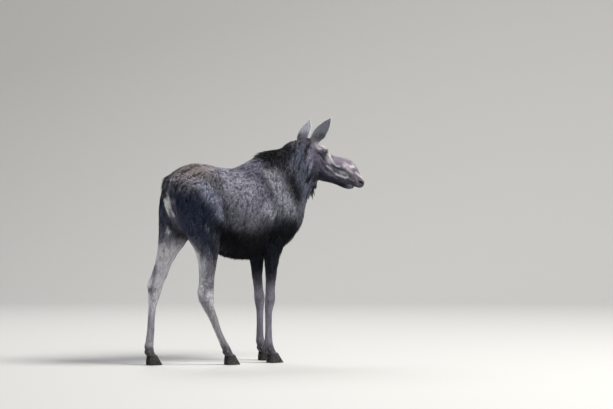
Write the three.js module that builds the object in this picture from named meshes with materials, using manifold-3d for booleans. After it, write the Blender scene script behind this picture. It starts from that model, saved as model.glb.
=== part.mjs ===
// A cow moose standing still at life size, with her head up and turned a little to her right.
// Millimetres, +Z up, +X the way she faces, +Y her left. The group's origin is the middle of her
// bounding box at floor level. The solids reach out to the tips of the coat.
//
// The flesh is made whole, from lofts through named stations, and then parted with thin flat cuts.

import * as THREE from "three";
import { mergeVertices } from "three/addons/utils/BufferGeometryUtils.js";
import Module from "manifold-3d";

const wasm = await Module();
wasm.setup();

const GAP = 0.4; // air between neighbouring pieces
const FAR = 4000; // a reach longer than the animal

const SIDES = { left: 1, right: -1 };

// ---------------------------------------------------------------- colours

const skin = (color) => new THREE.MeshStandardMaterial({ color, roughness: 0.85, metalness: 0 });
const darkCoat = skin(0x38363c);
const neckCoat = skin(0x4b4a52);
const faceCoat = skin(0x5a4f4e);
const legCoat = skin(0x8f8987);
const earCoat = skin(0x8d8f92);
const horn = new THREE.MeshStandardMaterial({ color: 0x1d1a19, roughness: 0.5, metalness: 0 });
const eyeGloss = new THREE.MeshStandardMaterial({ color: 0x0c0806, roughness: 0.08, metalness: 0 });

// ---------------------------------------------------------------- solids from meshes

function solidOf(geometry) {
  const bare = geometry.clone();
  bare.deleteAttribute("normal");
  bare.deleteAttribute("uv");
  const merged = mergeVertices(bare, 1e-3);
  const triVerts = new Uint32Array(merged.index.array);
  const vertProperties = merged.attributes.position.array;
  const made = new wasm.Manifold(new wasm.Mesh({ numProp: 3, vertProperties, triVerts }));
  if (made.volume() > 0) return made;
  for (let i = 0; i < triVerts.length; i += 3) {
    [triVerts[i + 1], triVerts[i + 2]] = [triVerts[i + 2], triVerts[i + 1]];
  }
  return new wasm.Manifold(new wasm.Mesh({ numProp: 3, vertProperties, triVerts }));
}

function geometryOf(solid) {
  const { numProp, numVert, vertProperties, triVerts } = solid.getMesh();
  const places = new Float32Array(numVert * 3);
  for (let i = 0; i < numVert; i++) {
    places.set(vertProperties.subarray(i * numProp, i * numProp + 3), i * 3);
  }
  const geometry = new THREE.BufferGeometry();
  geometry.setAttribute("position", new THREE.BufferAttribute(places, 3));
  geometry.setIndex(new THREE.BufferAttribute(triVerts, 1));
  return geometry;
}

const joined = (solids) => solids.reduce((whole, next) => whole.add(next));

// ---------------------------------------------------------------- lofts

// A closed skin through rings that hold the same number of points, with a fan over each end.
function loft(rings) {
  const count = rings[0].length;
  const points = rings.flat();
  const middles = [rings[0], rings[rings.length - 1]].map((ring) =>
    ring.reduce((sum, p) => sum.add(p), new THREE.Vector3()).divideScalar(count),
  );
  const faces = [];
  for (let r = 0; r + 1 < rings.length; r++) {
    for (let i = 0; i < count; i++) {
      const j = (i + 1) % count;
      const [a, b, c, d] = [r * count + i, r * count + j, (r + 1) * count + j, (r + 1) * count + i];
      faces.push(a, b, c, a, c, d);
    }
  }
  const first = points.length;
  const last = (rings.length - 1) * count;
  for (let i = 0; i < count; i++) {
    const j = (i + 1) % count;
    faces.push(first, j, i, first + 1, last + i, last + j);
  }
  const geometry = new THREE.BufferGeometry().setFromPoints([...points, ...middles]);
  geometry.setIndex(faces);
  return solidOf(geometry);
}

// One cross-section: half wide each way, up and down from its middle, with its top drawn in by
// ridge and its bottom by keel. Boxy above 2 and lean below it.
function ring({ middle, aside, upward, half, up, down, ridge = 0, keel = 0, boxy = 2, sides }) {
  const points = [];
  for (let i = 0; i < sides; i++) {
    const angle = (2 * Math.PI * i) / sides;
    const [c, s] = [Math.cos(angle), Math.sin(angle)];
    const across = Math.sign(c) * Math.abs(c) ** (2 / boxy);
    const rise = Math.sign(s) * Math.abs(s) ** (2 / boxy);
    const draw = 1 - (s > 0 ? ridge : keel) * rise * rise;
    points.push(
      middle
        .clone()
        .addScaledVector(aside, half * across * draw)
        .addScaledVector(upward, (s > 0 ? up : down) * rise),
    );
  }
  return points;
}

// A loft along the body, through stations with a point on the back (bx, bz), one underneath
// (ux, uz), the share of the way up where it is widest, and half its width there.
function alongBody(stations, sides) {
  return loft(
    stations.map((s) => {
      const back = new THREE.Vector3(s.bx, s.y, s.bz);
      const under = new THREE.Vector3(s.ux, s.y, s.uz);
      const middle = under.clone().lerp(back, s.widest);
      return ring({
        middle,
        aside: new THREE.Vector3(0, 1, 0),
        upward: back.clone().sub(under).normalize(),
        half: s.half,
        up: back.distanceTo(middle),
        down: under.distanceTo(middle),
        ridge: s.ridge,
        keel: s.keel,
        boxy: s.boxy,
        sides,
      });
    }),
  );
}

// A loft down a limb, through level stations: its middle (x, y), and how far it reaches to the
// front, to the rear and to each side of that. Grow pushes its skin out.
function downLimb(stations, sides, grow = 0) {
  const last = stations.length - 1;
  return loft(
    stations.map((s, i) =>
      ring({
        middle: new THREE.Vector3(s.x, s.y, s.z + (i === 0 ? grow : 0) - (i === last ? grow : 0)),
        aside: new THREE.Vector3(0, 1, 0),
        upward: new THREE.Vector3(1, 0, 0),
        half: s.half + grow,
        up: s.front + grow,
        down: s.rear + grow,
        ridge: s.noseIn,
        keel: s.heelIn,
        boxy: 2.1,
        sides,
      }),
    ),
  );
}

// A stretched sphere, for a bulge or a hollow.
function egg([x, y, z], [rx, ry, rz], [turnX, turnY, turnZ] = [0, 0, 0], finer = 8) {
  const geometry = new THREE.SphereGeometry(1, finer, Math.round(finer * 0.7));
  const turn = new THREE.Euler(turnX, turnY, turnZ);
  geometry.applyMatrix4(
    new THREE.Matrix4().compose(
      new THREE.Vector3(x, y, z),
      new THREE.Quaternion().setFromEuler(turn),
      new THREE.Vector3(rx, ry, rz),
    ),
  );
  return solidOf(geometry);
}

// ---------------------------------------------------------------- trunk

function trunkWhole() {
  const station = (x, top, bottom, widest, half, ridge, keel) => ({
    bx: x, bz: top, ux: x, uz: bottom, y: 0, widest, half, ridge, keel, boxy: 2.15,
  });
  const body = alongBody(
    [
      station(-735, 1530, 1400, 0.5, 60, 0, 0),
      station(-705, 1608, 1290, 0.5, 140, 0.2, 0.1), // buttocks
      station(-640, 1672, 1200, 0.5, 192, 0.25, 0.2),
      station(-560, 1716, 1120, 0.52, 222, 0.3, 0.3), // croup
      station(-460, 1736, 1065, 0.54, 240, 0.3, 0.35),
      station(-360, 1731, 1020, 0.56, 250, 0.25, 0.35), // hook bones
      station(-250, 1708, 970, 0.54, 266, 0.25, 0.3), // loin
      station(-140, 1687, 925, 0.5, 290, 0.3, 0.2),
      station(-30, 1688, 903, 0.47, 298, 0.38, 0.15), // belly
      station(80, 1730, 898, 0.45, 290, 0.48, 0.2),
      station(190, 1780, 905, 0.44, 268, 0.58, 0.3), // ribs behind the elbow
      station(300, 1815, 930, 0.43, 240, 0.66, 0.35), // withers
      station(400, 1820, 975, 0.43, 212, 0.64, 0.3),
      station(490, 1775, 1040, 0.42, 180, 0.5, 0.25),
      station(560, 1680, 1115, 0.42, 142, 0.3, 0.2), // breast
      station(612, 1540, 1200, 0.45, 90, 0.1, 0.1),
      station(634, 1440, 1270, 0.5, 40, 0, 0),
    ],
    18,
  );
  const hookBones = [-1, 1].map((side) =>
    egg([-352, side * 146, 1615], [135, 70, 70], [0, 0.1, -0.25 * side], 8),
  );
  const udder = egg([-395, 0, 1035], [95, 88, 62]);
  return joined([body, udder, ...hookBones]);
}

function tailWhole(grow) {
  const hang = (x, z, half, front, rear) => ({ x, y: 0, z, half, front, rear, noseIn: 0.1, heelIn: 0.2 });
  return downLimb(
    [
      hang(-672, 1648, 30, 20, 26),
      hang(-700, 1618, 34, 26, 24),
      hang(-726, 1580, 35, 28, 20),
      hang(-738, 1538, 31, 24, 18),
      hang(-742, 1500, 21, 17, 14),
      hang(-742, 1482, 8, 7, 6),
    ],
    10,
    grow,
  );
}

// ---------------------------------------------------------------- limbs

// The two hind limbs have the same stations with their own places, because the right one is set
// forward and the left one trails. From the gaskin down a place is [x, front, rear].
function hindLimb({ side, stance }) {
  const level = (z, x, y, front, rear, half, noseIn = 0.15, heelIn = 0.25) => ({
    x, y: side * y, z, half, front, rear, noseIn, heelIn,
  });
  const lower = (z, [x, front, rear], y, half, noseIn = 0.15, heelIn = 0.25) =>
    level(z, x, y, front, rear, half, noseIn, heelIn);
  return downLimb(
    [
      level(1600, -470, 110, 150, 130, 84),
      level(1540, stance.hip - 8, 138, 205, 205, 112),
      level(1420, stance.hip - 6, 146, 228, 240, 126),
      level(1300, stance.thigh, 150, 226, 238, 122),
      level(1180, stance.lowThigh, 158, 194, 196, 108),
      level(1070, stance.stifle, 166, 152, 158, 92),
      level(970, stance.gaskinTop, 168, 108, 112, 72),
      lower(870, stance.gaskin, 166, 57),
      lower(765, stance.lowGaskin, 162, 48),
      lower(690, stance.hockTop, 160, 44, 0.1, 0.45),
      lower(630, stance.hock, 159, 44, 0.1, 0.5),
      lower(565, stance.hockLow, 158, 41, 0.1, 0.4),
      lower(500, stance.cannonTop, 157, 35),
      lower(400, stance.cannon, 156, 29),
      lower(290, stance.cannonLow, 156, 28),
      lower(205, stance.fetlockTop, 156, 33),
      lower(160, stance.fetlock, 156, 40),
      level(115, stance.pastern, 157, 39, 40, 41),
      level(HOOF.height + GAP, stance.coronet, 158, 37, 40, 47),
    ],
    12,
  );
}

const HIND_STANCE = {
  right: {
    hip: -478, thigh: -484, lowThigh: -480, stifle: -452, gaskinTop: -428,
    gaskin: [-420, 89, 93], lowGaskin: [-424, 74, 81], hockTop: [-430, 78, 80],
    hock: [-438, 85, 87], hockLow: [-434, 76, 76], cannonTop: [-412, 58, 60],
    cannon: [-359, 45, 45], cannonLow: [-313, 36, 36], fetlockTop: [-268, 37, 39],
    fetlock: [-242, 42, 44], pastern: -218, coronet: -196,
  },
  left: {
    hip: -472, thigh: -488, lowThigh: -522, stifle: -560, gaskinTop: -612,
    gaskin: [-664, 80, 84], lowGaskin: [-708, 83, 83], hockTop: [-748, 78, 84],
    hock: [-756, 66, 68], hockLow: [-767, 49, 50], cannonTop: [-780, 36, 36],
    cannon: [-791, 34, 34], cannonLow: [-797, 37, 37], fetlockTop: [-807, 38, 40],
    fetlock: [-815, 42, 44], pastern: -806, coronet: -784,
  },
};

function foreLimb({ side, stance }) {
  const level = (z, x, y, front, rear, half, noseIn = 0.15, heelIn = 0.15) => ({
    x, y: side * y, z, half, front, rear, noseIn, heelIn,
  });
  return downLimb(
    [
      level(1470, 292, 112, 142, 156, 88),
      level(1350, 322, 132, 158, 170, 98),
      level(1230, 345, 142, 166, 176, 98),
      level(1120, stance.upperArm, 148, 146, 160, 90),
      level(1030, stance.elbow, 152, 106, 124, 76),
      level(940, stance.forearmTop, 154, 80, 86, 62),
      level(840, stance.forearm, 152, 64, 64, 51),
      level(730, stance.forearm, 148, 53, 52, 43),
      level(640, stance.kneeTop, 146, 48, 46, 41),
      level(570, stance.knee, 145, 53, 47, 46, 0.05, 0.2),
      level(510, stance.kneeLow, 144, 47, 45, 41, 0.05, 0.2),
      level(440, stance.cannon, 143, 34, 36, 32),
      level(320, stance.cannon, 142, 31, 34, 29),
      level(215, stance.cannon, 142, 34, 38, 33),
      level(165, stance.fetlock, 142, 40, 44, 41),
      level(115, stance.pastern, 143, 39, 40, 42),
      level(HOOF.height + GAP, stance.coronet, 144, 40, 42, 50),
    ],
    12,
  );
}

const FORE_STANCE = {
  right: {
    upperArm: 322, elbow: 258, forearmTop: 232, forearm: 222, kneeTop: 214, knee: 214,
    kneeLow: 208, cannon: 202, fetlock: 202, pastern: 218, coronet: 240,
  },
  left: {
    upperArm: 330, elbow: 276, forearmTop: 262, forearm: 262, kneeTop: 272, knee: 280,
    kneeLow: 282, cannon: 288, fetlock: 292, pastern: 308, coronet: 330,
  },
};

// ---------------------------------------------------------------- hooves

const HOOF = { height: 74, splay: 0.09 };

// A claw stands on a flat, pointed sole and leans back to the coronet. Its origin is on the floor
// below the middle of the coronet.
function claw({ x, y, outward, scale }) {
  const sides = 12;
  const rings = [
    { z: 0, ahead: 90, behind: 46, half: 24 },
    { z: 8, ahead: 90, behind: 49, half: 25 },
    { z: 32, ahead: 72, behind: 48, half: 25 },
    { z: HOOF.height, ahead: 36, behind: 40, half: 22 },
  ].map(({ z, ahead, behind, half }) => {
    const points = [];
    for (let i = 0; i < sides; i++) {
      const angle = (2 * Math.PI * i) / sides;
      const along = Math.cos(angle);
      const toe = along > 0 ? 1 - 0.42 * along ** 2.4 : 1;
      const outer = Math.sin(angle) * half * toe;
      points.push(new THREE.Vector3(along * (along > 0 ? ahead : behind) * scale, outer * scale, z));
    }
    return points;
  });
  const turn = new THREE.Matrix4().makeRotationZ(outward * HOOF.splay);
  const place = new THREE.Matrix4().makeTranslation(x, y + outward * 26.5 * scale, 0);
  const toWorld = place.multiply(turn);
  return loft(rings.map((points) => points.map((p) => p.applyMatrix4(toWorld))));
}

// The two small claws high on the heel.
function dewclaw({ x, y, outward }, grow) {
  const radii = [17, 13, 29].map((radius) => radius + grow);
  return egg([x - 42, y + outward * 26, 108], radii, [outward * 0.15, -0.45, 0], 6);
}

// ---------------------------------------------------------------- neck

function neckWhole() {
  const station = (bx, bz, ux, uz, y, widest, half, ridge, keel) => ({
    bx, bz, ux, uz, y, widest, half, ridge, keel, boxy: 2,
  });
  return alongBody(
    [
      station(150, 1700, 470, 1060, 0, 0.45, 120, 0.5, 0.2),
      station(260, 1790, 560, 1150, 0, 0.45, 158, 0.6, 0.2),
      station(350, 1826, 618, 1250, 0, 0.45, 160, 0.6, 0.2),
      station(430, 1846, 655, 1345, -2, 0.45, 146, 0.6, 0.25), // base of the mane
      station(494, 1902, 690, 1425, -6, 0.46, 130, 0.55, 0.3),
      station(550, 1941, 730, 1488, -11, 0.47, 116, 0.5, 0.3),
      station(610, 1955, 768, 1550, -16, 0.5, 106, 0.4, 0.3), // throat
      station(670, 1938, 800, 1620, -20, 0.52, 94, 0.2, 0.2),
    ],
    16,
  );
}

// ---------------------------------------------------------------- head

// The head is made along its own axes: forward from the poll to the nose, her left, and up square
// to the line of the forehead. HEAD turns that into place.
const HEAD = (() => {
  const turn = new THREE.Euler(0, THREE.MathUtils.degToRad(35), THREE.MathUtils.degToRad(-10), "ZYX");
  return new THREE.Matrix4()
    .makeTranslation(689, -20, 1914)
    .multiply(new THREE.Matrix4().makeRotationFromEuler(turn));
})();

const placedHead = (solid) => solidOf(geometryOf(solid).applyMatrix4(HEAD));

const EYE = { forward: 150, aside: 88, up: -17, radius: 19 };

function headWhole() {
  const face = (forward, top, bottom, widest, half, ridge, keel) => ({
    bx: forward, bz: top, ux: forward, uz: bottom, y: 0, widest, half, ridge, keel, boxy: 2.3,
  });
  const upper = alongBody(
    [
      face(-62, -10, -150, 0.5, 62, 0, 0),
      face(-30, 18, -180, 0.55, 84, 0.1, 0.1), // poll
      face(20, 30, -190, 0.6, 94, 0.1, 0.2),
      face(75, 37, -192, 0.66, 96, 0.05, 0.3), // forehead
      face(130, 40, -186, 0.72, 96, 0, 0.35),
      face(180, 34, -172, 0.7, 88, 0.05, 0.35),
      face(228, 22, -156, 0.62, 76, 0.25, 0.25), // bridge
      face(280, 32, -140, 0.55, 68, 0.4, 0.2),
      face(330, 58, -122, 0.5, 65, 0.45, 0.15),
      face(380, 79, -110, 0.46, 66, 0.45, 0.1), // crown of the nose
      face(430, 89, -104, 0.44, 68, 0.42, 0.05),
      face(475, 84, -98, 0.42, 71, 0.38, 0.05),
      face(515, 62, -93, 0.42, 74, 0.3, 0.05),
      face(555, 38, -90, 0.45, 75, 0.15, 0.05), // nostrils
      face(600, 18, -84, 0.5, 69, 0.1, 0.1),
      face(632, 2, -72, 0.5, 52, 0, 0.1),
      face(648, -18, -52, 0.5, 26, 0, 0),
    ],
    16,
  );
  const jaw = alongBody(
    [
      face(50, -60, -190, 0.5, 50, 0, 0.1),
      face(95, -50, -222, 0.5, 76, 0, 0.3), // angle of the jaw
      face(160, -50, -240, 0.5, 76, 0, 0.4),
      face(230, -60, -243, 0.5, 62, 0, 0.4),
      face(300, -70, -229, 0.5, 50, 0, 0.35),
      face(370, -72, -196, 0.5, 44, 0, 0.25),
      face(440, -70, -172, 0.5, 43, 0, 0.2),
      face(500, -68, -160, 0.5, 45, 0, 0.2),
      face(545, -66, -144, 0.5, 43, 0, 0.1), // chin
      face(578, -68, -118, 0.5, 30, 0, 0),
    ],
    10,
  );
  const both = [-1, 1].flatMap((side) => [
    egg([EYE.forward + 2, side * 80, EYE.up + 8], [46, 30, 34], [0, 0.1, -0.2 * side]), // orbit
    egg([575, side * 52, -28], [48, 28, 36], [0, 0.25, 0]), // nostril flare
  ]);
  const nostrils = [-1, 1].map((side) =>
    egg([600, side * 75, -33], [26, 14, 11], [0, -0.17, -0.45 * side], 8),
  );
  const sockets = [-1, 1].map((side) =>
    egg([EYE.forward, side * EYE.aside, EYE.up], Array(3).fill(EYE.radius + GAP), [0, 0, 0], 10),
  );
  const whole = joined([upper, jaw, ...both]);
  return placedHead([...nostrils, ...sockets].reduce((left, cut) => left.subtract(cut), whole));
}

const eye = (side) =>
  placedHead(egg([EYE.forward, side * EYE.aside, EYE.up], Array(3).fill(EYE.radius), [0, 0, 0], 10));

// The bell: a short flap of skin and hair under the throat.
function bellWhole(grow) {
  const hang = (z, x, half, front, rear) => ({ x, y: -22, z, half, front, rear, noseIn: 0.2, heelIn: 0.2 });
  return downLimb(
    [
      hang(1640, 748, 26, 44, 44),
      hang(1580, 748, 30, 46, 54),
      hang(1530, 740, 27, 36, 44),
      hang(1488, 733, 19, 22, 26),
      hang(1460, 729, 8, 10, 10),
    ],
    10,
    grow,
  );
}

// ---------------------------------------------------------------- ears

const EAR = {
  leather: 9,
  arc: 6,
  stations: [
    { share: -0.16, half: 28, cup: 26 },
    { share: 0.0, half: 40, cup: 35 },
    { share: 0.16, half: 58, cup: 43 },
    { share: 0.36, half: 67, cup: 42 },
    { share: 0.58, half: 58, cup: 32 },
    { share: 0.78, half: 39, cup: 21 },
    { share: 0.92, half: 18, cup: 13 },
    { share: 1.0, half: 8, cup: 8 },
  ],
};

// A leaf-shaped cup. Its rings are crescents, with a back that bulges and a hollow front. Grown,
// it is the seat of its root, with no hollow.
function ear({ base, tip, facing }, grow) {
  const root = new THREE.Vector3(...base);
  const axis = new THREE.Vector3(...tip).sub(root);
  const length = axis.length();
  axis.normalize();
  const front = new THREE.Vector3(...facing);
  front.addScaledVector(axis, -front.dot(axis)).normalize();
  const across = axis.clone().cross(front);
  const stations = grow ? EAR.stations.slice(0, 4) : EAR.stations;
  const rings = stations.map(({ share, half, cup }, station) => {
    const leather = Math.min(EAR.leather, half * 0.6);
    const depth = grow || share < 0.1 ? 0 : cup - leather;
    const along = share * length - (station === 0 ? grow : 0);
    const point = (i, reach, lift, sink) => {
      const angle = -Math.PI / 2 + (Math.PI * i) / EAR.arc;
      return root
        .clone()
        .addScaledVector(axis, along)
        .addScaledVector(across, reach * Math.sin(angle))
        .addScaledVector(front, lift - sink * Math.cos(angle));
    };
    const points = [];
    for (let i = 0; i <= EAR.arc; i++) points.push(point(i, half + grow, grow, cup + 2 * grow));
    for (let i = EAR.arc - 1; i > 0; i--) points.push(point(i, half - leather, 1.5 + grow, depth));
    return points;
  });
  return loft(rings);
}

const EARS = {
  right: { base: [684, -98, 1900], tip: [806, -194, 2112], facing: [0.0, -0.99, 0.1] },
  left: { base: [656, 62, 1900], tip: [808, 148, 2100], facing: [0.9, 0.45, 0.1] },
};

// ---------------------------------------------------------------- parting

// What a plane cuts off on the side its normal points away from, or on the side it points to.
function behind(solid, { point, normal }) {
  const away = new THREE.Vector3(...normal).normalize();
  const block = new THREE.BoxGeometry(2 * FAR, 2 * FAR, 2 * FAR);
  const turn = new THREE.Quaternion().setFromUnitVectors(new THREE.Vector3(0, 0, 1), away);
  const middle = new THREE.Vector3(...point).addScaledVector(away, -FAR - GAP / 2);
  block.applyMatrix4(new THREE.Matrix4().compose(middle, turn, new THREE.Vector3(1, 1, 1)));
  return solid.intersect(solidOf(block));
}

const beyond = (solid, { point, normal }) => behind(solid, { point, normal: normal.map((n) => -n) });

const levelAt = (z) => ({ point: [0, 0, z], normal: [0, 0, 1] });

// A flat outline moved outwards by a distance, with its corners kept sharp.
function outset(outline, by) {
  const corners = outline.map(([x, y]) => new THREE.Vector2(x, y));
  const outwards = corners.map((from, i) => {
    const run = corners[(i + 1) % corners.length].clone().sub(from).normalize();
    return new THREE.Vector2(run.y, -run.x);
  });
  return corners.map((corner, i) => {
    const before = outwards[(i + corners.length - 1) % corners.length];
    const sum = before.clone().add(outwards[i]);
    return corner.addScaledVector(sum, by / (1 + before.dot(outwards[i])));
  });
}

// The room of one limb: its outline seen from the side, run outwards from innerY. Grown by the
// gap, it cuts the trunk.
function limbRoom({ side, outline, innerY }, grow) {
  const shape = new THREE.Shape(outset(outline, grow));
  const prism = new THREE.ExtrudeGeometry(shape, { depth: 700, bevelEnabled: false });
  // The outline's y runs up, and the depth runs to her left or right.
  const offset = side * (innerY - grow);
  prism.applyMatrix4(new THREE.Matrix4().set(1, 0, 0, 0, 0, 0, side, offset, 0, 1, 0, 0, 0, 0, 0, 1));
  return solidOf(prism);
}

// A cut can leave crumbs beside the piece.
const largest = (solid) => solid.decompose().sort((a, b) => b.volume() - a.volume())[0];

// ---------------------------------------------------------------- assembly

const NAPE = { point: [620, 0, 1960], normal: [0.957, -0.05, 0.291] };
const COLLAR = { point: [430, 0, 1846], normal: [0.947, 0, 0.323] };

const LIMBS = [
  {
    limb: "hindleg",
    whole: hindLimb,
    stance: HIND_STANCE,
    footY: 158,
    hoofScale: 0.94,
    room: {
      innerY: 70,
      outline: [
        [-1200, -50], [100, -50], [100, 840], [-240, 880], [-240, 1130], [-320, 1350],
        [-460, 1470], [-640, 1490], [-1200, 1400],
      ],
    },
    lengths: [
      { part: "thigh", downTo: 955, material: darkCoat },
      { part: "gaskin", downTo: 560, material: legCoat },
      { part: "cannon", downTo: 188, material: legCoat },
      { part: "pastern", material: legCoat },
    ],
  },
  {
    limb: "foreleg",
    whole: foreLimb,
    stance: FORE_STANCE,
    footY: 144,
    hoofScale: 1,
    room: {
      innerY: 66,
      outline: [
        [60, -50], [640, -50], [640, 840], [480, 960], [486, 1260], [440, 1500], [330, 1590],
        [230, 1500], [150, 1250], [120, 1040], [120, 895], [60, 780],
      ],
    },
    lengths: [
      { part: "shoulder", downTo: 893, material: darkCoat },
      { part: "forearm", downTo: 555, material: darkCoat },
      { part: "cannon", downTo: 192, material: legCoat },
      { part: "pastern", material: legCoat },
    ],
  },
];

const moose = new THREE.Group();

function add(name, solid, material) {
  const mesh = new THREE.Mesh(geometryOf(largest(solid)), material);
  mesh.name = name;
  moose.add(mesh);
}

const limbsBySide = LIMBS.flatMap((limb) => Object.keys(SIDES).map((name) => ({ ...limb, name })));

// Each foot has an inner and an outer claw, with a dewclaw behind each.
const toes = limbsBySide.flatMap(({ limb, name, stance, footY, hoofScale }) =>
  [-1, 1].map((outward) => ({
    toe: `${limb}_${name}_${outward === SIDES[name] ? "outer" : "inner"}`,
    x: stance[name].coronet,
    y: SIDES[name] * footY,
    outward,
    scale: hoofScale,
  })),
);

// The pieces that sit in seats cut into the flesh, made by whole(0) and cut by whole(1).
const seated = [
  ...toes.map((toe) => ({
    name: `dewclaw_${toe.toe}`,
    whole: (grow) => dewclaw(toe, grow),
    material: horn,
  })),
  ...Object.entries(EARS).map(([name, shape]) => ({
    name: `ear_${name}`,
    whole: (grow) => ear(shape, grow),
    material: earCoat,
  })),
  { name: "tail", whole: tailWhole, material: darkCoat },
  { name: "bell", whole: bellWhole, material: neckCoat },
];

const limbSolids = limbsBySide.map(({ whole, stance, name }) =>
  whole({ side: SIDES[name], stance: stance[name] }),
);
const flesh = seated.reduce(
  (left, { whole }) => left.subtract(whole(1)),
  joined([trunkWhole(), neckWhole(), headWhole(), ...limbSolids]),
);

for (const { name, whole, material } of seated) add(name, whole(0), material);
for (const toe of toes) add(`hoof_${toe.toe}`, claw(toe), horn);
for (const [name, side] of Object.entries(SIDES)) add(`eye_${name}`, eye(side), eyeGloss);

add("head", beyond(flesh, NAPE), faceCoat);
const headless = behind(flesh, NAPE);
add("neck", beyond(headless, COLLAR), neckCoat);
let trunk = behind(headless, COLLAR);

for (const { limb, name, room, lengths } of limbsBySide) {
  const sided = { side: SIDES[name], ...room };
  let rest = largest(trunk.intersect(limbRoom(sided, 0)));
  trunk = trunk.subtract(limbRoom(sided, GAP));
  for (const { part, downTo, material } of lengths) {
    add(`${limb}_${name}_${part}`, downTo ? beyond(rest, levelAt(downTo)) : rest, material);
    if (downTo) rest = behind(rest, levelAt(downTo));
  }
}
add("trunk", trunk, darkCoat);

// The origin goes to the middle of her bounding box, on the floor.
const box = new THREE.Box3().setFromObject(moose);
const middle = box.getCenter(new THREE.Vector3());
moose.position.set(-middle.x, -middle.y, -box.min.z);

export default moose;
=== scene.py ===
from math import cos, pi, radians, sin

import bpy
import numpy as np
from mathutils import Matrix, Vector
from mathutils.bvhtree import BVHTree


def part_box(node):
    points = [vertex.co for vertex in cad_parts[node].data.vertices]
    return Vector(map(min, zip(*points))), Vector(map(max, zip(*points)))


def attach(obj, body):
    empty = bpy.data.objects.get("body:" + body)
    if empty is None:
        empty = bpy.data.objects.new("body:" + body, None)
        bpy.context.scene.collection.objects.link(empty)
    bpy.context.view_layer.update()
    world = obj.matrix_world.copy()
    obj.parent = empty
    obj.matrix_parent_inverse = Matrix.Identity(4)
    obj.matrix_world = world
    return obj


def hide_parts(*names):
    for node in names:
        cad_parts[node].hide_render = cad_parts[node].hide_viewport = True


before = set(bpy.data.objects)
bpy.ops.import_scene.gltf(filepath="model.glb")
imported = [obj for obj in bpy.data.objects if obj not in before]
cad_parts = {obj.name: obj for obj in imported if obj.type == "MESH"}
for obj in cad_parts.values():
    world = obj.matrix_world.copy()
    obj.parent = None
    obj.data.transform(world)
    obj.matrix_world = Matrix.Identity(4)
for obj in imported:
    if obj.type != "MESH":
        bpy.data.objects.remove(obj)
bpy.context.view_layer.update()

# ---------------------------------------------------------------- hide
# The hide is one soft leather skin over the whole animal, drawn tight over the bones of the legs
# and face and loose in folds at the flank, elbow and throat. It is grown, not fitted, so it has no
# seam, and the coat stands on it.

SKIN_GRAIN = 0.0052  # the size of a facet before thinning, m
SKIN_FACETS = 150000  # triangles left after thinning
BODY_ROUNDS, LIMB_ROUNDS = 110, 22  # rounds of smoothing
FLESH = [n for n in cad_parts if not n.startswith(("hoof_", "dewclaw_", "eye_"))]
SEATED = [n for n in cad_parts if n.startswith(("dewclaw_", "eye_"))]  # fill their own sockets


def ramp(value, start, stop):
    """0 before start and 1 after stop, smooth between them."""
    t = np.clip((value - start) / (stop - start), 0, 1)
    return t * t * (3 - 2 * t)


def bump(points, centre, reach):
    """1 at the centre, falling smoothly to 0 some two reaches away."""
    return np.exp(-(((points - centre) / reach) ** 2).sum(axis=1))


def vertices_of(piece, what="co"):
    """The places of its vertices, or their normals."""
    flat = np.empty(len(piece.data.vertices) * 3, dtype=np.float32)
    piece.data.vertices.foreach_get(what, flat)
    return flat.reshape(-1, 3).astype(float)


def normals_of(piece):
    """The way that each of its vertices faces."""
    return vertices_of(piece, "normal")


def move_vertices(piece, places):
    """Puts its vertices at those places."""
    piece.data.vertices.foreach_set("co", places.astype(np.float32).ravel())
    piece.data.update()


def make_active(piece):
    """Selects that piece alone."""
    bpy.ops.object.select_all(action="DESELECT")
    piece.select_set(True)
    bpy.context.view_layer.objects.active = piece


def take_copy(nodes, name):
    """One mesh from copies of CAD nodes, with its doubles merged."""
    bpy.ops.object.select_all(action="DESELECT")
    copies = []
    for node in nodes:
        made = bpy.data.objects.new(name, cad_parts[node].data.copy())
        bpy.context.collection.objects.link(made)
        made.select_set(True)
        copies.append(made)
    piece = copies[0]
    bpy.context.view_layer.objects.active = piece
    bpy.ops.object.join()
    piece.name = name
    bpy.ops.object.mode_set(mode="EDIT")
    bpy.ops.mesh.select_all(action="SELECT")
    bpy.ops.mesh.remove_doubles(threshold=1e-5)
    bpy.ops.object.mode_set(mode="OBJECT")
    return piece


def weigh(piece, name, weights):
    """A vertex group from an array of weights, in sixteen steps."""
    group = piece.vertex_groups.new(name=name)
    steps = np.round(np.clip(weights, 0, 1) * 16).astype(int)
    for step in range(1, 17):
        group.add(np.nonzero(steps == step)[0].tolist(), step / 16, "REPLACE")
    return name


def apply_modifier(piece, kind, **settings):
    """Adds a modifier with those settings and applies it."""
    make_active(piece)
    modifier = piece.modifiers.new(kind.lower(), kind)
    for key, value in settings.items():
        setattr(modifier, key, value)
    bpy.ops.object.modifier_apply(modifier=modifier.name)


# The head's own axes: forward to the nose, her left, and up square to the forehead.
eye_boxes = [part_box(f"eye_{side}") for side in ("left", "right")]
eye_middles = [(Vector(low) + Vector(high)) / 2 for low, high in eye_boxes]
EYE_FORWARD, EYE_UP = 0.150, -0.017  # where the eyes lie in these axes, m
head_left = (eye_middles[0] - eye_middles[1]).normalized()
level_forward = head_left.cross(Vector((0, 0, 1))).normalized()
nose_down = radians(35)
head_forward = level_forward * cos(nose_down) - Vector((0, 0, 1)) * sin(nose_down)
head_up = head_forward.cross(head_left).normalized()
brow = (eye_middles[0] + eye_middles[1]) / 2
head_middle = brow - head_forward * EYE_FORWARD - head_up * EYE_UP
HEAD_AXES = np.array([head_forward, head_left, head_up])


def in_head(points):
    """Places in the head's own axes, in metres."""
    return (points - np.array(head_middle)) @ HEAD_AXES.T


def out_of_head(points):
    """Places in the head's own axes, back in the frame of the whole animal."""
    return points @ HEAD_AXES + np.array(head_middle)


def headward(places, start, stop):
    """0 on the body and 1 on the head and ears, between two distances along the head."""
    along, _, up = in_head(places).T
    return ramp(along, start, stop) * ramp(up, -0.32, -0.25)


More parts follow.
